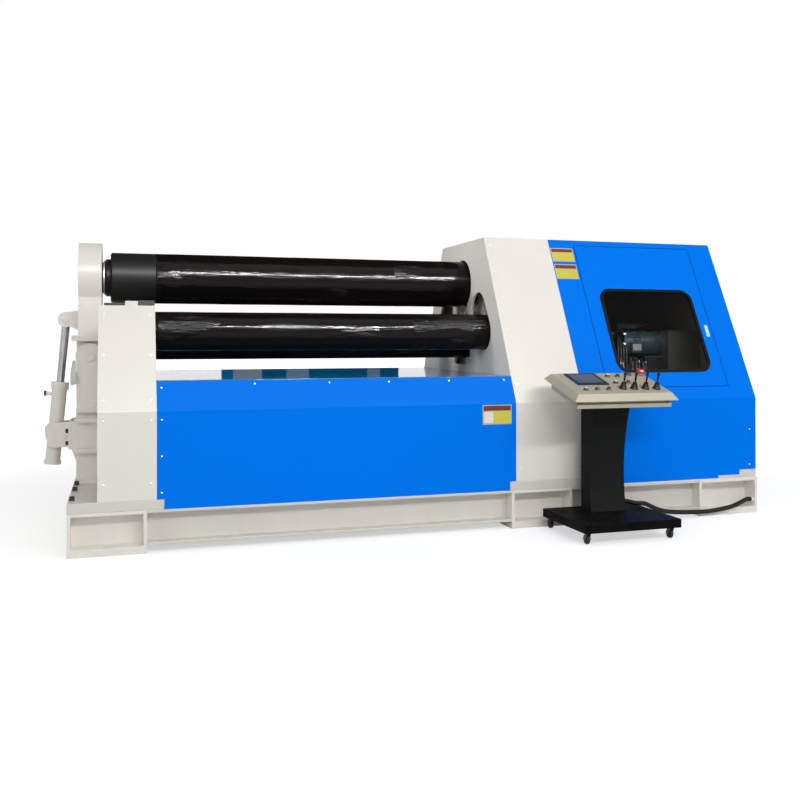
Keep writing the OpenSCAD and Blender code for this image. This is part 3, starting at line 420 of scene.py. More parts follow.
@dataclass(frozen=True)
class RollWrap:
    """The oiled black film on the rolls.

    Attributes:
        color: the film's colour.
        smear: the colour of the dull smears.
        bare: the colour of the roll's own end.
        bare_until: where the film starts along the roll.
        roughness: how dull the film is.
        creases: how deep the creases are.
    """

    color: Color = (0.0068, 0.0054, 0.0046)
    smear: Color = (0.024, 0.017, 0.013)
    bare: Color = (0.013, 0.0155, 0.014)
    bare_until: float = -9.0
    roughness: float = 0.15
    creases: float = 0.85

    def material(self, name: str) -> bpy.types.Material:
        """Build the material under a name."""
        return new_material(name, SurfaceGroups.wrap(),
                            {"Color": self.color, "Smear": self.smear, "Bare Color": self.bare,
                             "Bare Until": self.bare_until, "Roughness": self.roughness,
                             "Creases": self.creases},
                            {"Specular IOR Level": 0.10})


@dataclass(frozen=True)
class Grained:
    """Bare metal, rubber, casting or moulded plastic with a fine grain.

    Attributes:
        color: its linear colour.
        roughness: how dull it is.
        metallic: 1 for bare metal.
        scale: fineness of the grain.
        spread: how far the shade wanders.
        depth: how deep the grain is.
        coat: weight of the glossy top layer.
        shine: how much the surface itself mirrors.
    """

    color: Color
    roughness: float = 0.5
    metallic: float = 0.0
    scale: float = 350.0
    spread: float = 0.2
    depth: float = 0.15
    coat: float = 0.0
    shine: float = 0.35

    def material(self, name: str) -> bpy.types.Material:
        """Build the material under a name."""
        return new_material(name, SurfaceGroups.grain(),
                            {"Color": self.color, "Roughness": self.roughness, "Scale": self.scale,
                             "Spread": self.spread, "Depth": self.depth},
                            {"Metallic": self.metallic, "Coat Weight": self.coat,
                             "Specular IOR Level": self.shine})


@dataclass(frozen=True)
class TintedPane:
    """Dark see-through glass.

    Attributes:
        color: the tint.
        cover: how much of what lies behind the tint hides.
    """

    color: Color = (0.008, 0.0085, 0.009)
    cover: float = 0.13

    def material(self, name: str) -> bpy.types.Material:
        """Build the material under a name."""
        return new_material(name, SurfaceGroups.grain(),
                            {"Color": self.color, "Roughness": 0.06, "Scale": 40.0, "Spread": 0.1,
                             "Depth": 0.004},
                            {"Alpha": self.cover, "Specular IOR Level": 0.10})


@unique
class Finish(Enum):
    """Every finish on the machine, named as the record's material slots are, then the extras."""

    paint_white = Enamel((0.845, 0.815, 0.755), 0.36, 0.0, 0.04, 0.16, 0.12, 0.18)
    paint_blue = Enamel((0.0002, 0.200, 0.93), 0.36, 0.0, 0.05, 0.004, 0.1, 0.008)
    deck_paint = Enamel((0.003, 0.17, 0.40), 0.075, 0.0, 0.35, 0.01, 0.04, 0.9)
    switch_metal = Grained((0.66, 0.66, 0.65), 0.45)
    chromed_rod = Grained((0.34, 0.35, 0.37), 0.14, 1.0, 600.0, 0.1, 0.03)
    roll_film = RollWrap()
    seal_rubber = Grained((0.0025, 0.003, 0.0035), 0.5, shine=0.04)
    tinted_glass = TintedPane()
    handle_plastic = Grained((0.50, 0.76, 0.90), 0.3, 0.0, 200.0, 0.1, 0.05, 0.4)
    tank_paint = Enamel((0.15, 0.155, 0.125), 0.5, 0.0, 0.2, 0.1, 0.12, 0.3)
    motor_paint = Grained((0.075, 0.135, 0.155), 0.3, 0.0, 260.0, 0.2, 0.1)
    valve_metal = Grained((0.05, 0.05, 0.055), 0.4, 0.3)
    console_black = Enamel((0.003, 0.003, 0.003), 0.42, 0.0, 0.3, 0.015, 0.12, 0.02)
    console_dark = Enamel((0.0075, 0.0088, 0.0082), 0.42, 0.0, 0.3, 0.02, 0.12, 0.04)
    console_paint = Enamel((0.445, 0.41, 0.30), 0.45, 0.0, 0.05, 0.05, 0.3, 0.25)
    screen_glass = Grained((0.022, 0.026, 0.030), 0.35, 0.0, 60.0, 0.1, 0.0, shine=0.15)
    button_plastic = Grained((0.035, 0.032, 0.028), 0.35)
    stop_plastic = Grained((0.62, 0.035, 0.02), 0.28, 0.0, 200.0, 0.1, 0.05, 0.4)
    boot_rubber = Grained((0.007, 0.0065, 0.006), 0.5, shine=0.15)
    lever_plastic = Grained((0.007, 0.007, 0.008), 0.26, 0.0, 200.0, 0.1, 0.05, shine=0.2)
    caster_steel = Grained((0.06, 0.06, 0.06), 0.35, 0.8)
    caster_rubber = Grained((0.008, 0.008, 0.008), 0.5, shine=0.2)
    cable_jacket = Grained((0.0045, 0.0045, 0.0045), 0.36, 0.0, 160.0, 0.2, 0.1, shine=0.15)
    top_roll_film = RollWrap(bare_until=TOP_FILM_START, smear=(0.03, 0.0215, 0.017))
    plate_yellow = Enamel((0.66, 0.60, 0.075), 0.4, 0.0, 0.3, 0.05, shine=0.1)
    plate_red = Enamel((0.20, 0.035, 0.024), 0.4, 0.0, 0.2, 0.05, shine=0.1)
    plate_edge = Enamel((0.56, 0.50, 0.36), 0.4, 0.0, 0.1, 0.05, shine=0.1)
    plate_white = Enamel((0.80, 0.80, 0.76), 0.4, 0.0, 0.05, 0.05, shine=0.1)
    screw_steel = Grained((0.62, 0.60, 0.56), 0.4, 0.6)
    bolt_black = Grained((0.012, 0.012, 0.013), 0.42, 0.3)
    display_glass = Grained((0.125, 0.135, 0.142), 0.3, 0.0, 30.0, 0.5, 0.0, shine=0.12)
    cap_white = Grained((0.78, 0.76, 0.68), 0.3, 0.0, 200.0, 0.1, 0.05, 0.4)
    cap_olive = Grained((0.05, 0.052, 0.02), 0.3, 0.0, 200.0, 0.1, 0.05, 0.4)
    cap_amber = Grained((0.30, 0.21, 0.11), 0.3, 0.0, 200.0, 0.1, 0.05, 0.4)
    cap_black = Grained((0.012, 0.012, 0.012), 0.3, 0.0, 200.0, 0.1, 0.05, 0.4)
    flag_grey = Enamel((0.16, 0.20, 0.23), 0.6, 0.0, 0.5, 0.1, 0.1, 0.2)
    flag_teal = Enamel((0.0015, 0.085, 0.17), 0.6, 0.0, 0.8, 0.02, 0.1, 0.0)
    flag_blue = Enamel((0.002, 0.13, 0.30), 0.6, 0.0, 0.8, 0.02, 0.1, 0.0)
    lining_brown = Enamel((0.30, 0.26, 0.21), 0.6, 0.0, 0.4, 0.1, 0.1, 0.2)
    lining_grey = Enamel((0.15, 0.145, 0.128), 0.6, 0.0, 0.4, 0.1, 0.1, 0.2)
    flag_haze = Enamel((0.06, 0.16, 0.24), 0.6, 0.0, 0.5, 0.1, 0.1, 0.2)
    flag_dark = Enamel((0.02, 0.017, 0.015), 0.8, 0.0, 0.2, 0.05, 0.1, 0.0)
    # Darker copy of the white paint for the base beams and foot plates: the darkening is painted shade, with some
    # more settled dust.
    base_white = Enamel((0.70, 0.675, 0.62), 0.4, 0.0, 0.06, 0.22, 0.12, 0.25)
    block_grey = Grained((0.40, 0.39, 0.37), 0.45, 0.2)
    # Dark bronze metal for the button rings: partly the ring's own tone, partly painted shade round the caps.
    ring_metal = Grained((0.16, 0.15, 0.125), 0.35, 0.7)
    pipe_dull = Grained((0.14, 0.14, 0.145), 0.35, 0.8)
    pipe_steel = Grained((0.42, 0.42, 0.44), 0.3, 1.0)
    hose_rubber = Grained((0.010, 0.010, 0.010), 0.5)

    def get(self) -> bpy.types.Material:
        """Return the finish's material, made at its first use."""
        name = f"{self.name}_finish"
        if name not in bpy.data.materials:
            self.value.material(name)
        return bpy.data.materials[name]


def finish_piece(obj: bpy.types.Object, finish: Finish, body: str) -> bpy.types.Object:
    """Give a piece its finish and tie it to a body of the machine.

    Args:
        obj: the piece.
        finish: its finish.
        body: the body it moves with.

    Returns:
        The same piece.
    """
    if not obj.data.materials:
        obj.data.materials.append(finish.get())
    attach(obj, body)
    log.info("piece %s rides on %s", obj.name, body)
    return obj


def mesh_object(name: str, build: bmesh.types.BMesh) -> bpy.types.Object:
    """Turn an edited mesh into an object of the scene.

    Args:
        name: the object's name.
        build: the mesh, which is freed.

    Returns:
        The new object.
    """
    bmesh.ops.remove_doubles(build, verts=build.verts, dist=1e-6)
    bmesh.ops.recalc_face_normals(build, faces=build.faces)
    mesh = bpy.data.meshes.new(name)
    build.to_mesh(mesh)
    build.free()
    obj = bpy.data.objects.new(name, mesh)
    bpy.context.scene.collection.objects.link(obj)
    return obj


def add_block(build: bmesh.types.BMesh, low: Point, high: Point, place: Matrix | None = None) -> None:
    """Add a box to a mesh.

    Args:
        build: the mesh.
        low: the box's lowest corner.
        high: the box's highest corner.
        place: where the box's own axes lie, if not the scene's.
    """
    size = [b - a for a, b in zip(low, high)]
    middle = [(a + b) / 2 for a, b in zip(low, high)]
    matrix = Matrix.Translation(middle) @ Matrix.Diagonal((*size, 1.0))
    bmesh.ops.create_cube(build, size=1.0, matrix=(place or Matrix.Identity(4)) @ matrix)


def add_lathe(build: bmesh.types.BMesh, profile: list[tuple[float, float]], place: Matrix,
              sides: int = 32) -> None:
    """Add a turned shape to a mesh.

    Args:
        build: the mesh.
        profile: radius and height of each point, from one end of the axis to the other.
        place: where the axis, its own Z, lies.
        sides: faces round the axis.
    """
    rings = []
    for radius, height in profile:
        if radius < 1e-6:
            rings.append([build.verts.new(place @ Vector((0, 0, height)))])
            continue
        turn = [2 * math.pi * k / sides for k in range(sides)]
        rings.append([build.verts.new(place @ Vector((radius * math.cos(t), radius * math.sin(t), height)))
                      for t in turn])
    for lower, upper in zip(rings, rings[1:]):
        for k in range(sides):
            corners = [lower[k % len(lower)], lower[(k + 1) % len(lower)],
                       upper[(k + 1) % len(upper)], upper[k % len(upper)]]
            unique = list(dict.fromkeys(corners))
            if len(unique) > 2:
                build.faces.new(unique)


def add_bevel(obj: bpy.types.Object, width: float, angle: float) -> None:
    """Round an object's edges.

    Args:
        obj: the object.
        width: the rounding's width.
        angle: the smallest edge angle that is rounded, in degrees.
    """
    bevel = obj.modifiers.new("rounding", "BEVEL")
    bevel.width = width
    bevel.segments = 2
    bevel.limit_method = "ANGLE"
    bevel.angle_limit = math.radians(angle)
    bevel.harden_normals = True


def add_piece(name: str, build: bmesh.types.BMesh, width: float, finish: Finish, body: str) -> bpy.types.Object:
    """Make a finished piece with softly rounded edges from a mesh.

    Args:
        name: the piece's name.
        build: the mesh, which is freed.
        width: the rounding's width.
        finish: its finish.
        body: the body it moves with.

    Returns:
        The new piece.
    """
    obj = mesh_object(name, build)
    add_bevel(obj, width, SOFT_ANGLE)
    for face in obj.data.polygons:
        face.use_smooth = True
    return finish_piece(obj, finish, body)


def facing(at: Point, out: Point, up: Point = (0.0, 0.0, 1.0)) -> Matrix:
    """Return the place of a piece that stands on a surface.

    Args:
        at: the point on the surface.
        out: the surface's outward direction, which becomes the piece's Z.
        up: the direction that becomes the piece's Y, as nearly as it can.

    Returns:
        The matrix from the piece's own axes to the scene's.
    """
    z = Vector(out).normalized()
    x = Vector(up).cross(z).normalized()
    y = z.cross(x)
    return Matrix.Translation(Vector(at)) @ Matrix((x, y, z)).transposed().to_4x4()


# ---------------------------------------------------------------- fasteners


class Head(Enum):
    """The kinds of fastener head: sides, radius share of the washer, height share."""

    button = (20, 1.0, 0.42)
    hexagon = (6, 1.35, 0.7)
    stud = (6, 1.0, 1.15)


@dataclass
class Fasteners:
    """Screws or bolts of one kind on one body, set out by a geometry node tree.

    Attributes:
        name: the piece's name.
        head: the kind of head.
        radius: the head's radius.
        finish: the metal's finish.
        slot: a material slot of the record; not used.
        places: point on the surface and outward direction of each.
    """

    name: str
    head: Head
    radius: float
    finish: Finish
    slot: str
    places: list[tuple[Point, Point]] = field(default_factory=list)

    def tree(self) -> bpy.types.NodeTree:
        """Return the node tree for this kind of head, built at its first use."""
        name = f"{self.head.name}_heads"
        if name in bpy.data.node_groups:
            return bpy.data.node_groups[name]
        sides, washer, rise = self.head.value
        group = bpy.data.node_groups.new(name, "GeometryNodeTree")
        group.interface.new_socket("Places", in_out="INPUT", socket_type="NodeSocketGeometry")
        group.interface.new_socket("Head Radius", in_out="INPUT", socket_type="NodeSocketFloat")
        group.interface.new_socket("Metal", in_out="INPUT", socket_type="NodeSocketMaterial")
        group.interface.new_socket("Fasteners", in_out="OUTPUT", socket_type="NodeSocketGeometry")
        tree = ShaderTree(group)
        start, end = tree.add("NodeGroupInput"), tree.add("NodeGroupOutput")
        radius = start.outputs["Head Radius"]
        parts = tree.add("GeometryNodeJoinGeometry")

        def scaled(share: float) -> bpy.types.NodeSocket:
            """Return the head radius times a share."""
            return tree.math("MULTIPLY", radius, share)

        def disc(count: int, wide: float, narrow: float, foot: float, tall: float) -> None:
            """Add one tapered disc of the head."""
            cone = tree.add("GeometryNodeMeshCone", in_Vertices=count)
            tree.join(scaled(narrow), cone.inputs["Radius Top"])
            tree.join(scaled(wide), cone.inputs["Radius Bottom"])
            tree.join(scaled(tall), cone.inputs["Depth"])
            lift = tree.add("ShaderNodeCombineXYZ")
            tree.join(scaled(foot), lift.inputs["Z"])
            move = tree.add("GeometryNodeTransform")
            tree.join(cone.outputs["Mesh"], move.inputs["Geometry"])
            tree.join(lift.outputs[0], move.inputs["Translation"])
            tree.join(move.outputs[0], parts.inputs[0])

        disc(24, washer, washer, 0.0, 0.14)
        disc(sides, 0.96, 0.9, 0.13, rise)
        disc(sides, 0.9, 0.62, 0.13 + rise, 0.14)
        aim = tree.add("FunctionNodeAlignRotationToVector", axis="Z")
        out = tree.add("GeometryNodeInputNamedAttribute", data_type="FLOAT_VECTOR", in_Name="outward")
        tree.join(out.outputs[0], aim.inputs["Vector"])
        spread = tree.add("GeometryNodeInstanceOnPoints")
        tree.join(start.outputs["Places"], spread.inputs["Points"])
        tree.join(parts.outputs[0], spread.inputs["Instance"])
        tree.join(aim.outputs[0], spread.inputs["Rotation"])
        real = tree.add("GeometryNodeRealizeInstances")
        tree.join(spread.outputs[0], real.inputs[0])
        paint = tree.add("GeometryNodeSetMaterial")
        tree.join(real.outputs[0], paint.inputs["Geometry"])
        tree.join(start.outputs["Metal"], paint.inputs["Material"])
        tree.join(paint.outputs[0], end.inputs[0])
        return group

    def build(self, body: str) -> bpy.types.Object:
        """Set the fasteners out and make them one plain mesh.

        Args:
            body: the body they move with.

        Returns:
            The finished piece.
        """
        points = bpy.data.meshes.new(self.name + "_places")
        points.from_pydata([at for at, _ in self.places], [], [])
        outward = points.attributes.new("outward", "FLOAT_VECTOR", "POINT")
        for k, (_, way) in enumerate(self.places):
            outward.data[k].vector = Vector(way).normalized()
        maker = bpy.data.objects.new(self.name + "_maker", points)
        bpy.context.scene.collection.objects.link(maker)
        modifier = maker.modifiers.new("fasteners", "NODES")
        modifier.node_group = self.tree()
        wanted = {"Head Radius": self.radius, "Metal": self.finish.get()}
        for item in modifier.node_group.interface.items_tree:
            if item.in_out == "INPUT" and item.name in wanted:
                modifier[item.identifier] = wanted[item.name]
        graph = bpy.context.evaluated_depsgraph_get()
        mesh = bpy.data.meshes.new_from_object(maker.evaluated_get(graph))
        mesh.name = self.name
        bpy.data.objects.remove(maker)
        obj = bpy.data.objects.new(self.name, mesh)
        bpy.context.scene.collection.objects.link(obj)
        return finish_piece(obj, self.finish, body)


# ---------------------------------------------------------------- studio


@dataclass(frozen=True)
class Lamp:
    """A soft rectangular lamp.

    Attributes:
        name: the lamp's name.
        at: where it hangs.
        aim: the point that it looks at.
        size: its width and height.
        power: its power in watts.
        glints_only: whether it shows only as a glint on glossy surfaces.
        spread: how wide its beam opens, in degrees.
    """

    name: str
    at: Point
    aim: Point
    size: tuple[float, float]
    power: float
    glints_only: bool = False
    spread: float = 180.0

    def hang(self) -> None:
        """Hang the lamp."""
        data = bpy.data.lights.new(self.name, "AREA")
        data.shape = "RECTANGLE"
        data.size, data.size_y = self.size
        data.energy = self.power
        data.spread = math.radians(self.spread)
        obj = bpy.data.objects.new(self.name, data)
        obj.location = self.at
        obj.rotation_euler = (Vector(self.aim) - Vector(self.at)).to_track_quat("-Z", "Y").to_euler()
        obj.visible_diffuse = not self.glints_only
        bpy.context.scene.collection.objects.link(obj)


@dataclass
class Studio:
    """Floor, backdrop, lamps and camera."""

    camera_at: Point = (-2.0985, -6.62, 1.291)
    turn: float = 17.18
    lens: float = 40.49
    shift: float = -0.0771
    floor_color: Color = (0.55, 0.55, 0.55)
    floor_glow: float = 0.56
    floor_half: float = 60.0
    floor_near: float = 3.5
    floor_far: float = 9.0
    room_light: float = 0.42
    lamp_set: tuple[Lamp, ...] = (
        Lamp("strip_lamp", (1.2, -8.6, 4.9), (0.2, 0.0, 1.1), (7.5, 0.5), 285.0),
        Lamp("glint_lamp", (0.9, -8.6, 5.9), (0.2, 0.0, 1.3), (8.5, 0.22), 3900.0, True),
        Lamp("top_lamp", (0.9, -2.6, 6.6), (0.4, 0.0, 0.8), (5.0, 3.0), 40.0),
        Lamp("side_lamp", (-7.5, 0.6, 4.6), (0.46, -0.1, 1.75), (1.5, 1.5), 2.6, False, 16.0),
        Lamp("right_lamp", (8.0, -6.0, 3.6), (0.8, 0.0, 1.0), (3.0, 3.0), 60.0),
        Lamp("left_lamp", (-8.0, -5.0, 3.6), (-1.5, 0.0, 1.2), (3.0, 3.0), 95.0),
        Lamp("back_lamp", (0.0, 8.0, 6.0), (0.0, 0.0, 1.2), (6.0, 3.0), 110.0))

    def build(self) -> None:
        """Make everything in the studio."""
        self.camera()
        self.floor()
        self.flags()
        self.lamps()
        self.world()
        bpy.context.scene.view_settings.view_transform = "Standard"

    def camera(self) -> None:
        """Set the camera level, turned a little to the machine's drive end."""
        data = bpy.data.cameras.new("camera")
        data.lens = self.lens
        data.sensor_width = 36.0
        data.shift_y = self.shift
        data.clip_end = 200.0
        obj = bpy.data.objects.new("camera", data)
        obj.location = self.camera_at
        obj.rotation_euler = (math.radians(90), 0.0, -math.radians(self.turn))
        bpy.context.scene.collection.objects.link(obj)
        bpy.context.scene.camera = obj

    def floor(self) -> None:
        """Lay a wide pale floor."""
        build = bmesh.new()
        bmesh.ops.create_grid(build, x_segments=1, y_segments=1, size=self.floor_half)
        obj = mesh_object("floor", build)
        obj.location = (0.0, 0.0, -0.0006)
        material = bpy.data.materials.new("studio_floor")
        material.use_nodes = True
        tree = ShaderTree(material.node_tree)
        body = material.node_tree.nodes["Principled BSDF"]
        body.inputs["Base Color"].default_value = (*self.floor_color, 1.0)
        body.inputs["Roughness"].default_value = 0.85
        glow = tree.add("ShaderNodeEmission", in_Color=(1, 1, 1, 1))
        away = tree.add("ShaderNodeVectorMath", operation="LENGTH")
        tree.join(tree.add("ShaderNodeTexCoord").outputs["Object"], away.inputs[0])
        share = tree.ramp(away.outputs["Value"], self.floor_near, self.floor_far, self.floor_glow, 1.0)
        tree.join(tree.math("MULTIPLY", share, tree.seen()), glow.inputs["Strength"])
        both = tree.add("ShaderNodeAddShader")
        tree.join(body.outputs[0], both.inputs[0])
        tree.join(glow.outputs[0], both.inputs[1])
        tree.join(both.outputs[0], material.node_tree.nodes["Material Output"].inputs["Surface"])
        obj.data.materials.append(material)

    def flags(self) -> None:
        """Hang the boards that only mirrors see: coloured for the deck, dark for the rolls."""
        for number, (low, high, finish) in enumerate((
                ((-1.07, 3.2, 0.9), (-0.95, 3.25, 1.95), Finish.flag_blue),
                ((-0.95, 3.2, 0.9), (-0.64, 3.25, 1.95), Finish.flag_grey),
                ((-0.64, 3.2, 0.9), (-0.37, 3.25, 1.95), Finish.flag_teal),
                ((-0.37, 3.2, 0.9), (-0.12, 3.25, 1.95), Finish.flag_haze),
                ((-0.12, 3.2, 0.9), (0.55, 3.25, 1.95), Finish.flag_teal),
                ((0.55, 3.2, 0.9), (0.70, 3.25, 1.95), Finish.flag_haze),
                ((0.70, 3.2, 0.9), (0.92, 3.25, 1.95), Finish.flag_teal),
                ((1.27, 3.2, 0.9), (2.15, 3.25, 1.95), Finish.flag_blue),
                ((-4.5, 3.2, 2.0), (4.5, 3.25, 7.0), Finish.flag_dark),
                ((-4.5, -1.0, 7.0), (4.5, 3.25, 7.05), Finish.flag_dark))):
            build = bmesh.new()
            add_block(build, low, high)
            board = mesh_object(f"dark_flag_{number + 1}", build)
            board.data.materials.append(finish.get())
            board.visible_camera = False
            board.visible_diffuse = False
            board.visible_shadow = False
            board.visible_transmission = False

    def lamps(self) -> None:
        """Hang the lamps: two long strips for the rolls, one overhead, one on their ends and three fills."""
        for lamp in self.lamp_set:
            lamp.hang()

    def world(self) -> None:
        """Fill the room with plain light, and show white behind the machine."""
        world = bpy.data.worlds.new("room")
        bpy.context.scene.world = world
        world.use_nodes = True
        tree = ShaderTree(world.node_tree)
        strength = tree.ramp(tree.seen(), 0.0, 1.0, self.room_light, 1.0)
        background = world.node_tree.nodes["Background"]
        background.inputs["Color"].default_value = (1.0, 1.0, 1.0, 1.0)
        tree.join(strength, background.inputs["Strength"])


# ---------------------------------------------------------------- cable


@dataclass
class ConsoleCable:
    """The cable from the console's column to the base."""

    diameter: float = 0.032
    route: tuple[Point, ...] = (
        (1.165, -1.180, 0.178), (1.190, -1.180, 0.178), (1.225, -1.179, 0.171), (1.262, -1.175, 0.161),
        (1.300, -1.170, 0.153), (1.340, -1.163, 0.1495), (1.380, -1.156, 0.140), (1.425, -1.146, 0.120),
        (1.475, -1.137, 0.098), (1.545, -1.124, 0.076), (1.625, -1.110, 0.063), (1.720, -1.095, 0.053),
        (1.815, -1.082, 0.046), (1.910, -1.071, 0.042), (2.000, -1.062, 0.044), (2.085, -1.054, 0.051),
        (2.160, -1.045, 0.060), (2.225, -1.032, 0.073), (2.285, -1.010, 0.085), (2.325, -0.993, 0.092),
        (2.350, -0.985, 0.095), (2.376, -0.985, 0.095))

    def smooth(self, steps: int = 4) -> list[Vector]:
        """Return the route with points added on a smooth line through it."""
        p = [Vector(q) for q in self.route]
        ends = [2 * p[0] - p[1], *p, 2 * p[-1] - p[-2]]
        out = []
        for a, b, c, d in zip(ends, ends[1:], ends[2:], ends[3:]):
            for k in range(steps):
                t = k / steps
                out.append(0.5 * (2 * b + (c - a) * t + (2 * a - 5 * b + 4 * c - d) * t ** 2
                                  + (3 * b - a - 3 * c + d) * t ** 3))
        return [*out, p[-1]]

    def build(self) -> None:
        line = self.smooth()
        data = bpy.data.curves.new("console_cable_tube", "CURVE")
        data.dimensions = "3D"
        data.bevel_depth = self.diameter / 2
        data.bevel_resolution = 5
        data.use_fill_caps = True
        spline = data.splines.new("POLY")
        spline.points.add(len(line) - 1)
        for point, at in zip(spline.points, line):
            point.co = (*at, 1.0)
        spline.use_smooth = True
        obj = bpy.data.objects.new("console_cable_tube", data)
        bpy.context.scene.collection.objects.link(obj)
        finish_piece(obj, Finish.cable_jacket, MACHINE)
        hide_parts("console_cable")


# ---------------------------------------------------------------- edges


class Edge(Enum):
    """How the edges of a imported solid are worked: width of the rounding in metres, smallest angle."""

    sheet = (0.0021, 14.0)
    plate = (0.0035, 24.0)
    casting = (0.006, 30.0)
    moulded = (0.0008, 30.0)
    turned = (0.0015, 30.0)


@dataclass
class EdgeWork:
    """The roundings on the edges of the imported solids."""

    kinds: dict[Edge, str] = field(default_factory=lambda: {
        Edge.sheet: (
            "head_cover stand_covers aprons deck cabinet_front cabinet_back cabinet_end "
            "cabinet_top door"),
        Edge.plate: (
            "console_desk console_column console_foot base_blocks base_beams foot_plates "
            "head_side_plate stand_side_plate stand_frame head_frame hinge_cheeks "
            "cylinder_bracket bottom_chocks front_chocks rear_chocks oil_tank"),
        Edge.casting: (
            "drop_end"),
        Edge.turned: (
            "tilt_cylinder tilt_rod top_roll bottom_roll front_roll rear_roll"),
        Edge.moulded: (
            "drive_motor door_handle console_screen limit_switch window_seal")})

    def tree(self) -> bpy.types.NodeTree:
        """Return the node tree that joins a solid's faces and shades it smooth up to an angle."""
        if "joined_faces" in bpy.data.node_groups:
            return bpy.data.node_groups["joined_faces"]
        group = bpy.data.node_groups.new("joined_faces", "GeometryNodeTree")
        group.interface.new_socket("Solid", in_out="INPUT", socket_type="NodeSocketGeometry")
        limit = group.interface.new_socket("Smooth Below", in_out="INPUT", socket_type="NodeSocketFloat")
        limit.default_value = math.radians(24.0)
        group.interface.new_socket("Solid", in_out="OUTPUT", socket_type="NodeSocketGeometry")
        tree = ShaderTree(group)
        start, end = tree.add("NodeGroupInput"), tree.add("NodeGroupOutput")
        merge = tree.add("GeometryNodeMergeByDistance", in_Distance=0.00002)
        tree.join(start.outputs["Solid"], merge.inputs["Geometry"])
        turn = tree.add("GeometryNodeInputMeshEdgeAngle")
        hard = tree.add("FunctionNodeCompare", data_type="FLOAT", operation="GREATER_THAN")
        tree.join(turn.outputs["Unsigned Angle"], hard.inputs[0])
        tree.join(start.outputs["Smooth Below"], hard.inputs[1])
        shade = tree.add("GeometryNodeSetMeshNormal", mode="SHARPNESS")
        tree.join(merge.outputs[0], shade.inputs["Mesh"])
        shade.inputs["Remove Custom"].default_value = True
        tree.join(hard.outputs["Result"], shade.inputs["Edge Sharpness"])
        tree.join(shade.outputs[0], end.inputs[0])
        return group

    def work(self) -> None:
        """Round the edges of every solid that has a kind."""
        pairs = [(name, kind.value) for kind, names in self.kinds.items() for name in names.split()]
        for name, (width, angle) in pairs:
            obj = frame["nodes"][name]
            joined = obj.modifiers.new("joined", "NODES")
            joined.node_group = self.tree()
            flat = obj.modifiers.new("flat_faces", "DECIMATE")
            flat.decimate_type = "DISSOLVE"
            flat.angle_limit = math.radians(0.4)
            add_bevel(obj, width, angle)
        log.info("%d solids with worked edges", len(pairs))


# ---------------------------------------------------------------- rolls


@dataclass
class RollFilm:
    """The film drawn round one roll: a thin skin with a seam, overlaps and tension creases.

    Attributes:
        roll: the roll's node and body.
        axis: the roll's axis, as Y and Z.
        radius: the roll's radius.
        start: where the film starts.
        stop: where it stops.
        seed: which creases it gets.
    """

    roll: str
    axis: tuple[float, float]
    radius: float
    start: float
    stop: float
    seed: int
    around: int = 208
    along: int = 210

    def rise(self, x: float, turn: float) -> float:
        """Return the film's outer height over the roll.

        Args:
            x: the place along the roll.
            turn: the place around the roll, from 0 to 1.
        """
        c, n = math.cos(turn * math.tau), math.sin(turn * math.tau)
        lot = 17.3 * self.seed
        bend = noise.noise(Vector((x * 0.9, 2.0 * c, 2.0 * n + lot)))
        patch = 0.5 + 0.5 * noise.noise(Vector((x * 1.6 + lot, 1.3 * c, 1.3 * n)))
        drawn = 1.0 - abs(noise.noise(Vector((x * 2.4 + 0.5 * bend, 9.0 * c + lot, 9.0 * n))))
        puckers = 1.0 - abs(noise.noise(Vector((x * 15.0 + 9.0 * turn, 12.0 * c, 12.0 * n + lot))))
        wave = noise.noise(Vector((x * 3.5, 3.0 * c + lot, 3.0 * n)))
        joint = math.floor(x * 2.1 + 0.35 * math.sin(turn * math.tau) + self.seed * 0.37) % 2
        seam = (turn - 0.93 + 0.02 * bend) % 1.0
        height = 0.0006 + 0.0005 * seam + 0.00035 * joint
        height += 0.0005 * drawn ** 6 + 0.0008 * patch ** 2 * puckers ** 5 + 0.0003 * wave
        return max(height, 0.0003)

    def build(self, finish: Finish) -> None:
        """Build the film.

        Args:
            finish: its finish.
        """
        build = bmesh.new()
        rings = []
        count = self.along
        for i in range(count + 1):
            x = self.start + (self.stop - self.start) * i / count
            ragged = 0.004 if i in (0, count) else 0.0
            ring = []
            for k in range(self.around):
                turn = k / self.around
                angle = turn * math.tau
                edge = ragged * noise.noise(Vector((6.0 * math.cos(angle), 6.0 * math.sin(angle), x)))
                r = self.radius + self.rise(x, turn)
                ring.append(build.verts.new((x + edge, self.axis[0] + r * math.cos(angle),
                                             self.axis[1] + r * math.sin(angle))))
            rings.append(ring)
        for first, x in ((0, self.start), (-1, self.stop)):
            ring = [build.verts.new((x, self.axis[0] + (self.radius - 0.0005) * math.cos(k * math.tau / self.around),
                                     self.axis[1] + (self.radius - 0.0005) * math.sin(k * math.tau / self.around)))
                    for k in range(self.around)]
            rings.insert(0, ring) if first == 0 else rings.append(ring)
        for low, high in zip(rings, rings[1:]):
            for k in range(self.around):
                build.faces.new((low[k], low[k - 1], high[k - 1], high[k]))
        obj = mesh_object(self.roll + "_wrap", build)
        for face in obj.data.polygons:
            face.use_smooth = True
        finish_piece(obj, finish, self.roll)


@dataclass
class RollFilms:
    """The films on the four rolls."""

    inner: float = -1.883
    outer: float = 0.446
    top_start: float = TOP_FILM_START

    def build(self) -> None:
        """Wrap every roll."""
        for seed, roll in enumerate(("top_roll", "bottom_roll", "front_roll", "rear_roll")):
            low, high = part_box(roll)
            axis = ((low[1] + high[1]) / 2, (low[2] + high[2]) / 2)
            start = self.top_start if roll == "top_roll" else self.inner
            RollFilm(roll, axis, (high[2] - low[2]) / 2, start, self.outer, seed + 1).build(Finish.roll_film)
        log.info("films wrapped round four rolls")


# ---------------------------------------------------------------- covers


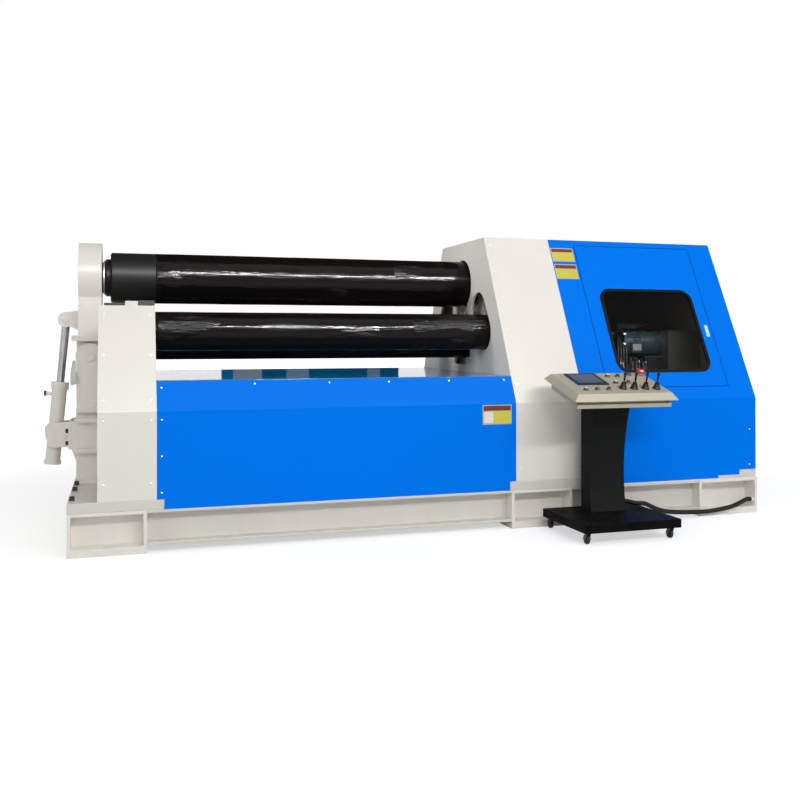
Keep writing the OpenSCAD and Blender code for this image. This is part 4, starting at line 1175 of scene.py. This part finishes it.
@dataclass
class Covers:
    """Places on the sheet metal covers: the upright part, the fold and the lean."""

    half_depth: float = 1.020
    knee: float = 0.852
    top: float = 2.038
    setback: float = 0.576
    end_x: float = 2.397
    end_lean: float = 0.4857

    def skin(self, x: float, z: float) -> tuple[Point, Point]:
        """Return the point on the front cover at x and z, and its outward direction."""
        if z <= self.knee:
            return (x, -self.half_depth, z), (0.0, -1.0, 0.0)
        rise = self.top - self.knee
        y = -self.half_depth + (z - self.knee) * self.setback / rise
        length = math.hypot(rise, self.setback)
        return (x, y, z), (0.0, -rise / length, self.setback / length)

    def both(self, places: list[tuple[float, float]]) -> list[tuple[Point, Point]]:
        """Return the places on the front covers and their mirror on the rear ones."""
        found = [self.skin(x, z) for x, z in places]
        return found + [((p[0], -p[1], p[2]), (n[0], -n[1], n[2])) for p, n in found]

    def dress(self) -> None:
        """Screw the covers down."""
        stand = [(x, z) for x in (-2.205, -1.930) for z in (1.44, 1.19, 0.92, 0.80, 0.42)]
        head = [(x, z) for x in (0.50, 0.94) for z in (1.98, 1.78, 1.36, 0.98, 0.80, 0.40)]
        Fasteners("cover_screws", Head.button, 0.0048, Finish.screw_steel, "switch_metal",
                  self.both(stand + head)).build(MACHINE)
        apron = [(-1.868, z) for z in (0.99, 0.80, 0.58, 0.36)]
        apron += [(x, 1.006) for x in (-1.3, -0.82, -0.42, 0.0, 0.40)]
        cabinet = [(x, z) for x in (1.06, 2.34) for z in (0.36, 0.62)]
        Fasteners("apron_screws", Head.button, 0.0048, Finish.screw_steel, "switch_metal",
                  self.both(apron + cabinet)).build(MACHINE)
        ends = [((self.end_x, y, z), (1.0, 0.0, 0.0)) for y in (-0.97, 0.97) for z in (0.38, 0.60, 0.82)]
        ends += [((self.end_x, s * (0.975 - (z - self.knee) * self.end_lean), z), (1.0, 0.0, 0.0))
                 for s in (-1, 1) for z in (1.1, 1.4, 1.7, 1.99)]
        ends += [((x, y, self.top), (0.0, 0.0, 1.0)) for x in (1.05, 1.7, 2.34) for y in (-0.39, 0.39)]
        ends += [((x, y, self.top), (0.0, 0.0, 1.0)) for x in (0.51, 0.93) for y in (-0.39, 0.39)]
        Fasteners("end_screws", Head.button, 0.0062, Finish.screw_steel, "switch_metal", ends).build(MACHINE)


@dataclass
class BlankPlates:
    """The plain colour plates on the covers, without any wording."""

    covers: Covers = field(default_factory=Covers)
    thick: float = 0.0012

    def build(self) -> None:
        """Fix the plates: a pale border, a red strip and a yellow field each."""
        edge, strip, body, white = bmesh.new(), bmesh.new(), bmesh.new(), bmesh.new()
        for x0, x1, z0, z1 in ((0.984, 1.168, 1.732, 1.846), (0.984, 1.168, 1.866, 1.972),
                               (0.213, 0.424, 0.711, 0.843)):
            tall = z1 - z0
            self.plate(edge, x0, x1, z0, z1, 0.0002, self.thick)
            self.plate(strip, x0 + 0.006, x1 - 0.006, z1 - 0.30 * tall, z1 - 0.007, self.thick, 0.0004)
            self.plate(body, x0 + 0.006, x1 - 0.006, z0 + 0.007, z1 - 0.33 * tall, self.thick, 0.0004)
        self.plate(white, 0.224, 0.290, 0.722, 0.796, self.thick + 0.0004, 0.0003)
        for name, build, finish in (
                ("plate_borders", edge, Finish.plate_edge), ("plate_strips", strip, Finish.plate_red),
                ("plate_fields", body, Finish.plate_yellow), ("plate_patch", white, Finish.plate_white)):
            add_piece(name, build, 0.0002, finish, MACHINE)

    def plate(self, build: bmesh.types.BMesh, x0: float, x1: float, z0: float, z1: float,
              foot: float, thick: float) -> None:
        """Add one plate on the front covers.

        Args:
            build: the mesh that it joins.
            x0: its left side.
            x1: its right side.
            z0: its lower edge.
            z1: its upper edge.
            foot: how far it stands off the cover.
            thick: its thickness.
        """
        low, out = self.covers.skin(x0, z0)
        high, _ = self.covers.skin(x0, z1)
        up = Vector(high) - Vector(low)
        place = Matrix.Translation(Vector(low)) @ Matrix((
            (1, 0, 0), up.normalized(), Vector(out))).transposed().to_4x4()
        add_block(build, (0.0, 0.0, foot), (x1 - x0, up.length, foot + thick), place)


# ---------------------------------------------------------------- power unit


def add_pipe(build: bmesh.types.BMesh, points: list[Point], radius: float, sides: int = 14) -> None:
    """Add a pipe along points, with rounded corners and closed ends.

    Args:
        build: the mesh that it joins.
        points: the corners of its middle line.
        radius: its radius.
        sides: faces around it.
    """
    line = [Vector(points[0])]
    for a, b, c in zip(points, points[1:], points[2:]):
        a, b, c = Vector(a), Vector(b), Vector(c)
        cut = min((a - b).length, (c - b).length, radius * 6) * 0.5
        one, two = b + (a - b).normalized() * cut, b + (c - b).normalized() * cut
        line += [one.lerp(b, t).lerp(b.lerp(two, t), t) for t in (0.0, 0.25, 0.5, 0.75, 1.0)]
    line.append(Vector(points[-1]))
    side = Vector((0.0, 0.0, 1.0))
    rings = []
    for k, at in enumerate(line):
        way = (line[min(k + 1, len(line) - 1)] - line[max(k - 1, 0)]).normalized()
        if abs(way.dot(side)) > 0.95:
            side = Vector((0.0, 1.0, 0.0)) if abs(way.y) < 0.9 else Vector((1.0, 0.0, 0.0))
        side = (side - way * side.dot(way)).normalized()
        other = way.cross(side)
        rings.append([build.verts.new(at + radius * (math.cos(a) * side + math.sin(a) * other))
                      for a in (math.tau * n / sides for n in range(sides))])
    for low, high in zip(rings, rings[1:]):
        for k in range(sides):
            build.faces.new((low[k - 1], low[k], high[k], high[k - 1]))
    build.faces.new(list(reversed(rings[0])))
    build.faces.new(rings[-1])
    bmesh.ops.recalc_face_normals(build, faces=build.faces)


@dataclass
class PowerUnit:
    """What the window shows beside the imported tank, motor and valves."""

    left: float = 0.986
    right: float = 2.388
    covers: Covers = field(default_factory=Covers)
    inset: float = 0.018

    def build(self) -> None:
        """Line the cabinet and fit the motor, the pipes and the bolts."""
        self.lining()
        self.motor_fittings()
        self.pipework()
        log.info("power unit fitted")

    def outline(self) -> list[tuple[float, float]]:
        """Return the cabinet's inner outline, as Y and Z."""
        half, knee, top = self.covers.half_depth - self.inset, self.covers.knee - 0.004, self.covers.top - 0.012
        narrow = self.covers.half_depth - self.covers.setback - self.inset * 0.7
        return [(-half, 0.274), (-half, knee), (-narrow, top), (narrow, top), (half, knee), (half, 0.274)]

    def lining(self) -> None:
        """Line the partition, the end, the back and the top with thin sheets."""
        for name, x0, x1, finish in (("partition_lining", self.left, self.left + 0.002, Finish.lining_grey),
                                     ("end_lining", self.right - 0.002, self.right, Finish.lining_brown)):
            build = bmesh.new()
            low = [build.verts.new((x0, y, z)) for y, z in self.outline()]
            high = [build.verts.new((x1, y, z)) for y, z in self.outline()]
            build.faces.new(low)
            build.faces.new(list(reversed(high)))
            for k in range(len(low)):
                build.faces.new((low[k], low[k - 1], high[k - 1], high[k]))
            bmesh.ops.recalc_face_normals(build, faces=build.faces)
            add_piece(name, build, 0.0006, finish, MACHINE)
        build = bmesh.new()
        corners = self.outline()[2:]
        for (y0, z0), (y1, z1) in zip(corners, corners[1:]):
            along = Vector((0.0, y1 - y0, z1 - z0))
            out = Vector((1.0, 0.0, 0.0)).cross(along).normalized()
            place = Matrix.Translation(Vector((self.left + 0.003, y0, z0))) @ Matrix((
                (1, 0, 0), along.normalized(), out)).transposed().to_4x4()
            add_block(build, (0.0, 0.0, -0.001), (self.right - self.left - 0.006, along.length, 0.001), place)
        add_piece("back_lining", build, 0.0005, Finish.lining_grey, MACHINE)

    def motor_fittings(self) -> None:
        """Fit the motor's smooth jacket and blank plate, and the pump's plate with its bright bolts."""
        jacket = bmesh.new()
        along = Matrix.Translation((0.0, -0.250, 1.254)) @ Matrix.Rotation(math.pi / 2, 4, "Y")
        add_lathe(jacket, [(0.0, 1.850), (0.0925, 1.850), (0.0945, 1.852), (0.0945, 1.984), (0.0925, 1.986),
                           (0.0, 1.986)], along, 64)
        add_piece("motor_jacket", jacket, 0.0008, Finish.motor_paint, MACHINE)
        plate = bmesh.new()
        add_block(plate, (1.762, -0.3692, 1.196), (1.838, -0.3682, 1.246))
        add_piece("motor_blank_plate", plate, 0.0003, Finish.plate_white, MACHINE)
        end = bmesh.new()
        add_block(end, (1.700, -0.345, 1.165), (1.712, -0.155, 1.345))
        add_piece("pump_plate", end, 0.003, Finish.valve_metal, MACHINE)
        places = [((1.700, y, z), (-1.0, 0.0, 0.0)) for y in (-0.330, -0.170) for z in (1.180, 1.254, 1.330)]
        places += [((1.706, -0.345, z), (0.0, -1.0, 0.0)) for z in (1.246, 1.325)]
        Fasteners("pump_bolts", Head.hexagon, 0.0085, Finish.pipe_steel, "switch_metal", places).build(MACHINE)

    def pipework(self) -> None:
        """Lay the rigid pipes from the valves and their fittings."""
        bright, dark, nuts = bmesh.new(), bmesh.new(), bmesh.new()
        for k in range(5):
            x = 1.757 + 0.030 * k
            y = -0.372 - 0.008 * (k % 2)
            add_pipe(bright, [(x, y, 0.98), (x, y, 1.095 + 0.012 * (k % 3)), (x + 0.008, -0.335, 1.128)], 0.0055)
            for z in (1.035, 1.085):
                add_lathe(nuts, [(0.0, 0.0), (0.010, 0.0), (0.011, 0.002), (0.011, 0.014), (0.010, 0.016),
                                 (0.0, 0.016)],
                          Matrix.Translation((x, y, z + 0.006 * (k % 2))), 6)
        for k in range(4):
            y = -0.372 + 0.016 * k
            add_pipe(dark, [(1.705 - 0.013 * k, y, 0.96), (1.700 - 0.014 * k, y, 1.20),
                            (1.735, -0.24 + 0.02 * k, 1.372 + 0.012 * k),
                            (1.90 + 0.05 * k, -0.20 + 0.02 * k, 1.375 + 0.012 * k)], 0.0085)
        for k in range(3):
            add_pipe(bright, [(1.692 - 0.02 * k, -0.384 + 0.012 * k, 0.97), (1.676 - 0.02 * k, -0.36, 1.10),
                              (1.700 - 0.02 * k, -0.30, 1.17)], 0.005)
        for name, build, finish in (
                ("bright_pipes", bright, Finish.pipe_dull), ("dark_pipes", dark, Finish.hose_rubber),
                ("pipe_nuts", nuts, Finish.pipe_dull)):
            add_piece(name, build, 0.0004, finish, MACHINE)


# ---------------------------------------------------------------- stand and base


@dataclass
class StandHardware:
    """Bolts, caps and rings on the stand, the drop end and the tilt cylinder."""

    flange_x: float = -2.441
    bolt_y: float = 0.160
    foot_top: float = 0.324
    block_outer_y: float = 0.704

    def build(self) -> None:
        """Fit the hardware."""
        flange = [((self.flange_x, s * self.bolt_y, z), (-1.0, 0.0, 0.0)) for s in (-1, 1) for z in (0.584, 0.666)]
        Fasteners("bracket_bolts", Head.stud, 0.015, Finish.bolt_black, "valve_metal", flange).build(MACHINE)
        foot = [((-2.384, y, self.foot_top), (0.0, 0.0, 1.0)) for y in (-0.910, -0.545, -0.305, 0.305, 0.545, 0.910)]
        foot += [((2.36, y, self.foot_top), (0.0, 0.0, 1.0)) for y in (-0.85, 0.85)]
        Fasteners("foot_bolts", Head.stud, 0.017, Finish.bolt_black, "valve_metal", foot).build(MACHINE)
        self.pin_caps()
        self.top_blocks()
        self.turned_parts()

    def top_blocks(self) -> None:
        """Stand the small stop blocks and their pads on top of the stand."""
        low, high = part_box("stand_frame")
        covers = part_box("stand_covers")[1][2]
        grey, black = bmesh.new(), bmesh.new()
        for side in (-1, 1):
            for build, x0, x1, y0, foot, top in (
                    (grey, low[0] + 0.006, high[0] - 0.015, 0.625, high[2] - 0.0005, 1.527),
                    (black, low[0] - 0.120, low[0] + 0.005, 0.645, covers - 0.0004, 1.514),
                    (black, high[0] - 0.014, high[0] + 0.085, 0.625, covers - 0.0004, 1.531)):
                near, far = sorted((side * y0, side * self.block_outer_y))
                add_block(build, (x0, near, foot), (x1, far, top))
        add_piece("stop_blocks", grey, 0.002, Finish.block_grey, MACHINE)
        add_piece("stop_pads", black, 0.002, Finish.bolt_black, MACHINE)

    def turned_parts(self) -> None:
        """Fit the tilt cylinder's port nut and the pale ring on the top roll's journal."""
        nut = bmesh.new()
        add_lathe(nut, [(0.0, 0.0), (0.0175, 0.0), (0.0190, 0.002), (0.0190, 0.0125), (0.0175, 0.0145),
                        (0.0, 0.0145)],
                  Matrix.Translation((-2.594, 0.0, 0.9145)) @ Matrix.Rotation(-math.pi / 2, 4, "Y"), 6)
        add_piece("port_nut", nut, 0.0008, Finish.bolt_black, "tilt_cylinder")
        ring = bmesh.new()
        turned = Matrix.Translation((0.0, 0.0, 1.714)) @ Matrix.Rotation(math.pi / 2, 4, "Y")
        add_lathe(ring, [(0.1065, -2.2192), (0.1165, -2.2192), (0.1180, -2.2180), (0.1180, -2.2122),
                         (0.1065, -2.2122), (0.1065, -2.2192)], turned, 72)
        add_piece("journal_ring", ring, 0.0004, Finish.screw_steel, "top_roll")

    def pin_caps(self) -> None:
        """Put a stepped cap on each end of the hinge pin."""
        build = bmesh.new()
        low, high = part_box("hinge_pin")
        x, z = (low[0] + high[0]) / 2, (low[2] + high[2]) / 2
        cap = [(0.0, 0.0), (0.030, 0.0), (0.031, 0.001), (0.031, 0.004), (0.029, 0.006), (0.010, 0.006),
               (0.009, 0.003), (0.0, 0.003)]
        for y, way in ((low[1], -1.0), (high[1], 1.0)):
            add_lathe(build, cap, facing((x, y, z), (0.0, way, 0.0)), 32)
        add_piece("hinge_pin_caps", build, 0.0005, Finish.paint_white, MACHINE)


# ---------------------------------------------------------------- console


@dataclass
class ConsoleFittings:
    """The small parts on the console's desk, foot and casters."""

    centre_x: float = 0.990
    rear_y: float = -1.150
    rear_z: float = 1.053
    slope: float = math.radians(16.8)
    caps: tuple[tuple[float, float, str], ...] = (
        (0.047, 0.072, "cap_white"), (0.125, 0.075, "cap_olive"), (0.231, 0.046, "cap_black"),
        (0.038, 0.201, "cap_white"), (0.131, 0.205, "cap_black"), (-0.245, 0.322, "cap_white"),
        (-0.160, 0.319, "cap_amber"), (-0.079, 0.323, "cap_black"))

    def on_desk(self, x: float, down: float, up: float = 0.0) -> Matrix:
        """Return the place of a piece on the desk.

        Args:
            x: how far it is from the console's middle.
            down: how far it is down the slope.
            up: its height over the desk.
        """
        c, s = math.cos(self.slope), math.sin(self.slope)
        at = Vector((self.centre_x + x, self.rear_y - down * c - up * s, self.rear_z - down * s + up * c))
        return Matrix.Translation(at) @ Matrix.Rotation(self.slope, 4, "X")

    def build(self) -> None:
        """Fit the small parts."""
        self.display()
        self.button_caps()
        self.tags()
        self.stop_collar()
        self.screws()
        log.info("console fitted")

    def display(self) -> None:
        """Lay the display in its bezel."""
        build = bmesh.new()
        add_block(build, (-0.094, -0.174, 0.0), (0.094, 0.0, 0.0009), self.on_desk(-0.139, 0.030, 0.0050))
        add_piece("display_pane", build, 0.0004, Finish.display_glass, MACHINE)
        rim = bmesh.new()
        for low, high in (((-0.100, -0.180, 0), (0.100, -0.175, 0.0018)),
                          ((-0.100, 0.001, 0), (0.100, 0.006, 0.0018)),
                          ((-0.100, -0.175, 0), (-0.095, 0.001, 0.0018)),
                          ((0.095, -0.175, 0), (0.100, 0.001, 0.0018))):
            add_block(rim, low, high, self.on_desk(-0.139, 0.030, 0.0050))
        add_piece("display_rim", rim, 0.0004, Finish.screen_glass, MACHINE)

    def button_caps(self) -> None:
        """Set a coloured cap on each button, and a dark metal ring round it, its darkness partly painted shade round
        the cap.
        """
        profile = [(0.0, 0.0), (0.0114, 0.0), (0.0114, 0.0030), (0.0105, 0.0044), (0.0070, 0.0052), (0.0, 0.0054)]
        for number, (x, down, finish) in enumerate(self.caps):
            build = bmesh.new()
            add_lathe(build, profile, self.on_desk(x, down, 0.0149), 32)
            add_piece(f"button_cap_{number + 1}", build, 0.0003, Finish[finish], MACHINE)
        rings = bmesh.new()
        ring = [(0.0152, 0.0), (0.0190, 0.0), (0.0190, 0.0022), (0.0178, 0.0034), (0.0156, 0.0034),
                (0.0152, 0.0024), (0.0152, 0.0)]
        for x, down, _ in self.caps:
            add_lathe(rings, ring, self.on_desk(x, down, 0.0038), 36)
        add_piece("button_rings", rings, 0.0003, Finish.ring_metal, MACHINE)

    def tags(self) -> None:
        """Fix the small blank tags behind the levers and over the buttons."""
        pale, red = bmesh.new(), bmesh.new()
        for number, (x, down) in enumerate(((0.031, 0.262), (0.111, 0.264), (0.192, 0.268), (0.273, 0.272))):
            add_block(pale if number % 2 else red, (-0.014, -0.006, 0.0), (0.014, 0.006, 0.0007),
                      self.on_desk(x, down, 0.0001))
        for x, down, _ in self.caps:
            add_block(pale, (-0.015, -0.005, 0.0), (0.015, 0.005, 0.0007), self.on_desk(x, down - 0.029, 0.0001))
        add_piece("pale_tags", pale, 0.0002, Finish.plate_white, MACHINE)
        add_piece("red_tags", red, 0.0002, Finish.plate_red, MACHINE)

    def stop_collar(self) -> None:
        """Put the bright collar round the emergency stop's stem."""
        build = bmesh.new()
        add_lathe(build, [(0.0135, 0.0), (0.0175, 0.0), (0.0175, 0.006), (0.0160, 0.009), (0.0135, 0.009),
                          (0.0135, 0.0)],
                  self.on_desk(0.312, 0.055, 0.0055), 32)
        add_piece("stop_collar", build, 0.0004, Finish.cap_amber, MACHINE)

    def screws(self) -> None:
        """Screw the desk's cover and the foot's casters down."""
        out = Vector((0.0, -math.sin(self.slope), math.cos(self.slope)))
        places = [(tuple(self.on_desk(x, down).translation), tuple(out))
                  for x in (-0.318, 0.328) for down in (0.014, 0.384)]
        Fasteners("desk_screws", Head.button, 0.0042, Finish.screw_steel, "switch_metal", places).build(MACHINE)
        foot = []
        for x in (0.690, 1.290):
            for y in (-1.589, -1.089):
                foot += [((x + dx, y + dy, 0.132), (0.0, 0.0, 1.0))
                         for dx in (-0.018, 0.018) for dy in (-0.018, 0.018)]
        Fasteners("caster_screws", Head.button, 0.0045, Finish.bolt_black, "caster_steel", foot).build(MACHINE)
        for k in range(4):
            low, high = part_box(f"caster_wheel_{k + 1}")
            hub = [(a + b) / 2 for a, b in zip(low, high)]
            fork_low, fork_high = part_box(f"caster_fork_{k + 1}")
            places = [((fork_low[0], hub[1], hub[2]), (-1.0, 0.0, 0.0)),
                      ((fork_high[0], hub[1], hub[2]), (1.0, 0.0, 0.0))]
            Fasteners(f"axle_nuts_{k + 1}", Head.hexagon, 0.0055, Finish.screw_steel, "caster_steel",
                      places).build(f"caster_fork_{k + 1}")


@dataclass
class Solids:
    """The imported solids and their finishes."""

    # The base beams and foot plates take the darker white, whose darkening is painted shade with some more dust.
    unlike: dict[str, Finish] = field(default_factory=lambda: {
        "top_roll": Finish.top_roll_film, "base_beams": Finish.base_white, "foot_plates": Finish.base_white})

    def dress(self) -> None:
        """Give each solid the finish that its record's slot names."""
        slots = {part["node"]: part["material_slot"] for part in frame["record"]["subparts"]}
        for name, node in frame["nodes"].items():
            material = self.unlike.get(name, Finish[slots[name]]).get()
            if node.data.materials:
                node.data.materials[0] = material
            else:
                node.data.materials.append(material)
        log.info("%d solids dressed", len(slots))


def main() -> None:
    """Build the studio and dress the machine, piece by piece."""
    logging.basicConfig(level=logging.INFO, format="%(name)s: %(message)s")
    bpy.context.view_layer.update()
    Studio().build()
    ConsoleCable().build()
    Solids().dress()
    EdgeWork().work()
    RollFilms().build()
    Covers().dress()
    BlankPlates().build()
    PowerUnit().build()
    StandHardware().build()
    ConsoleFittings().build()


if __name__ == "__main__":
    main()
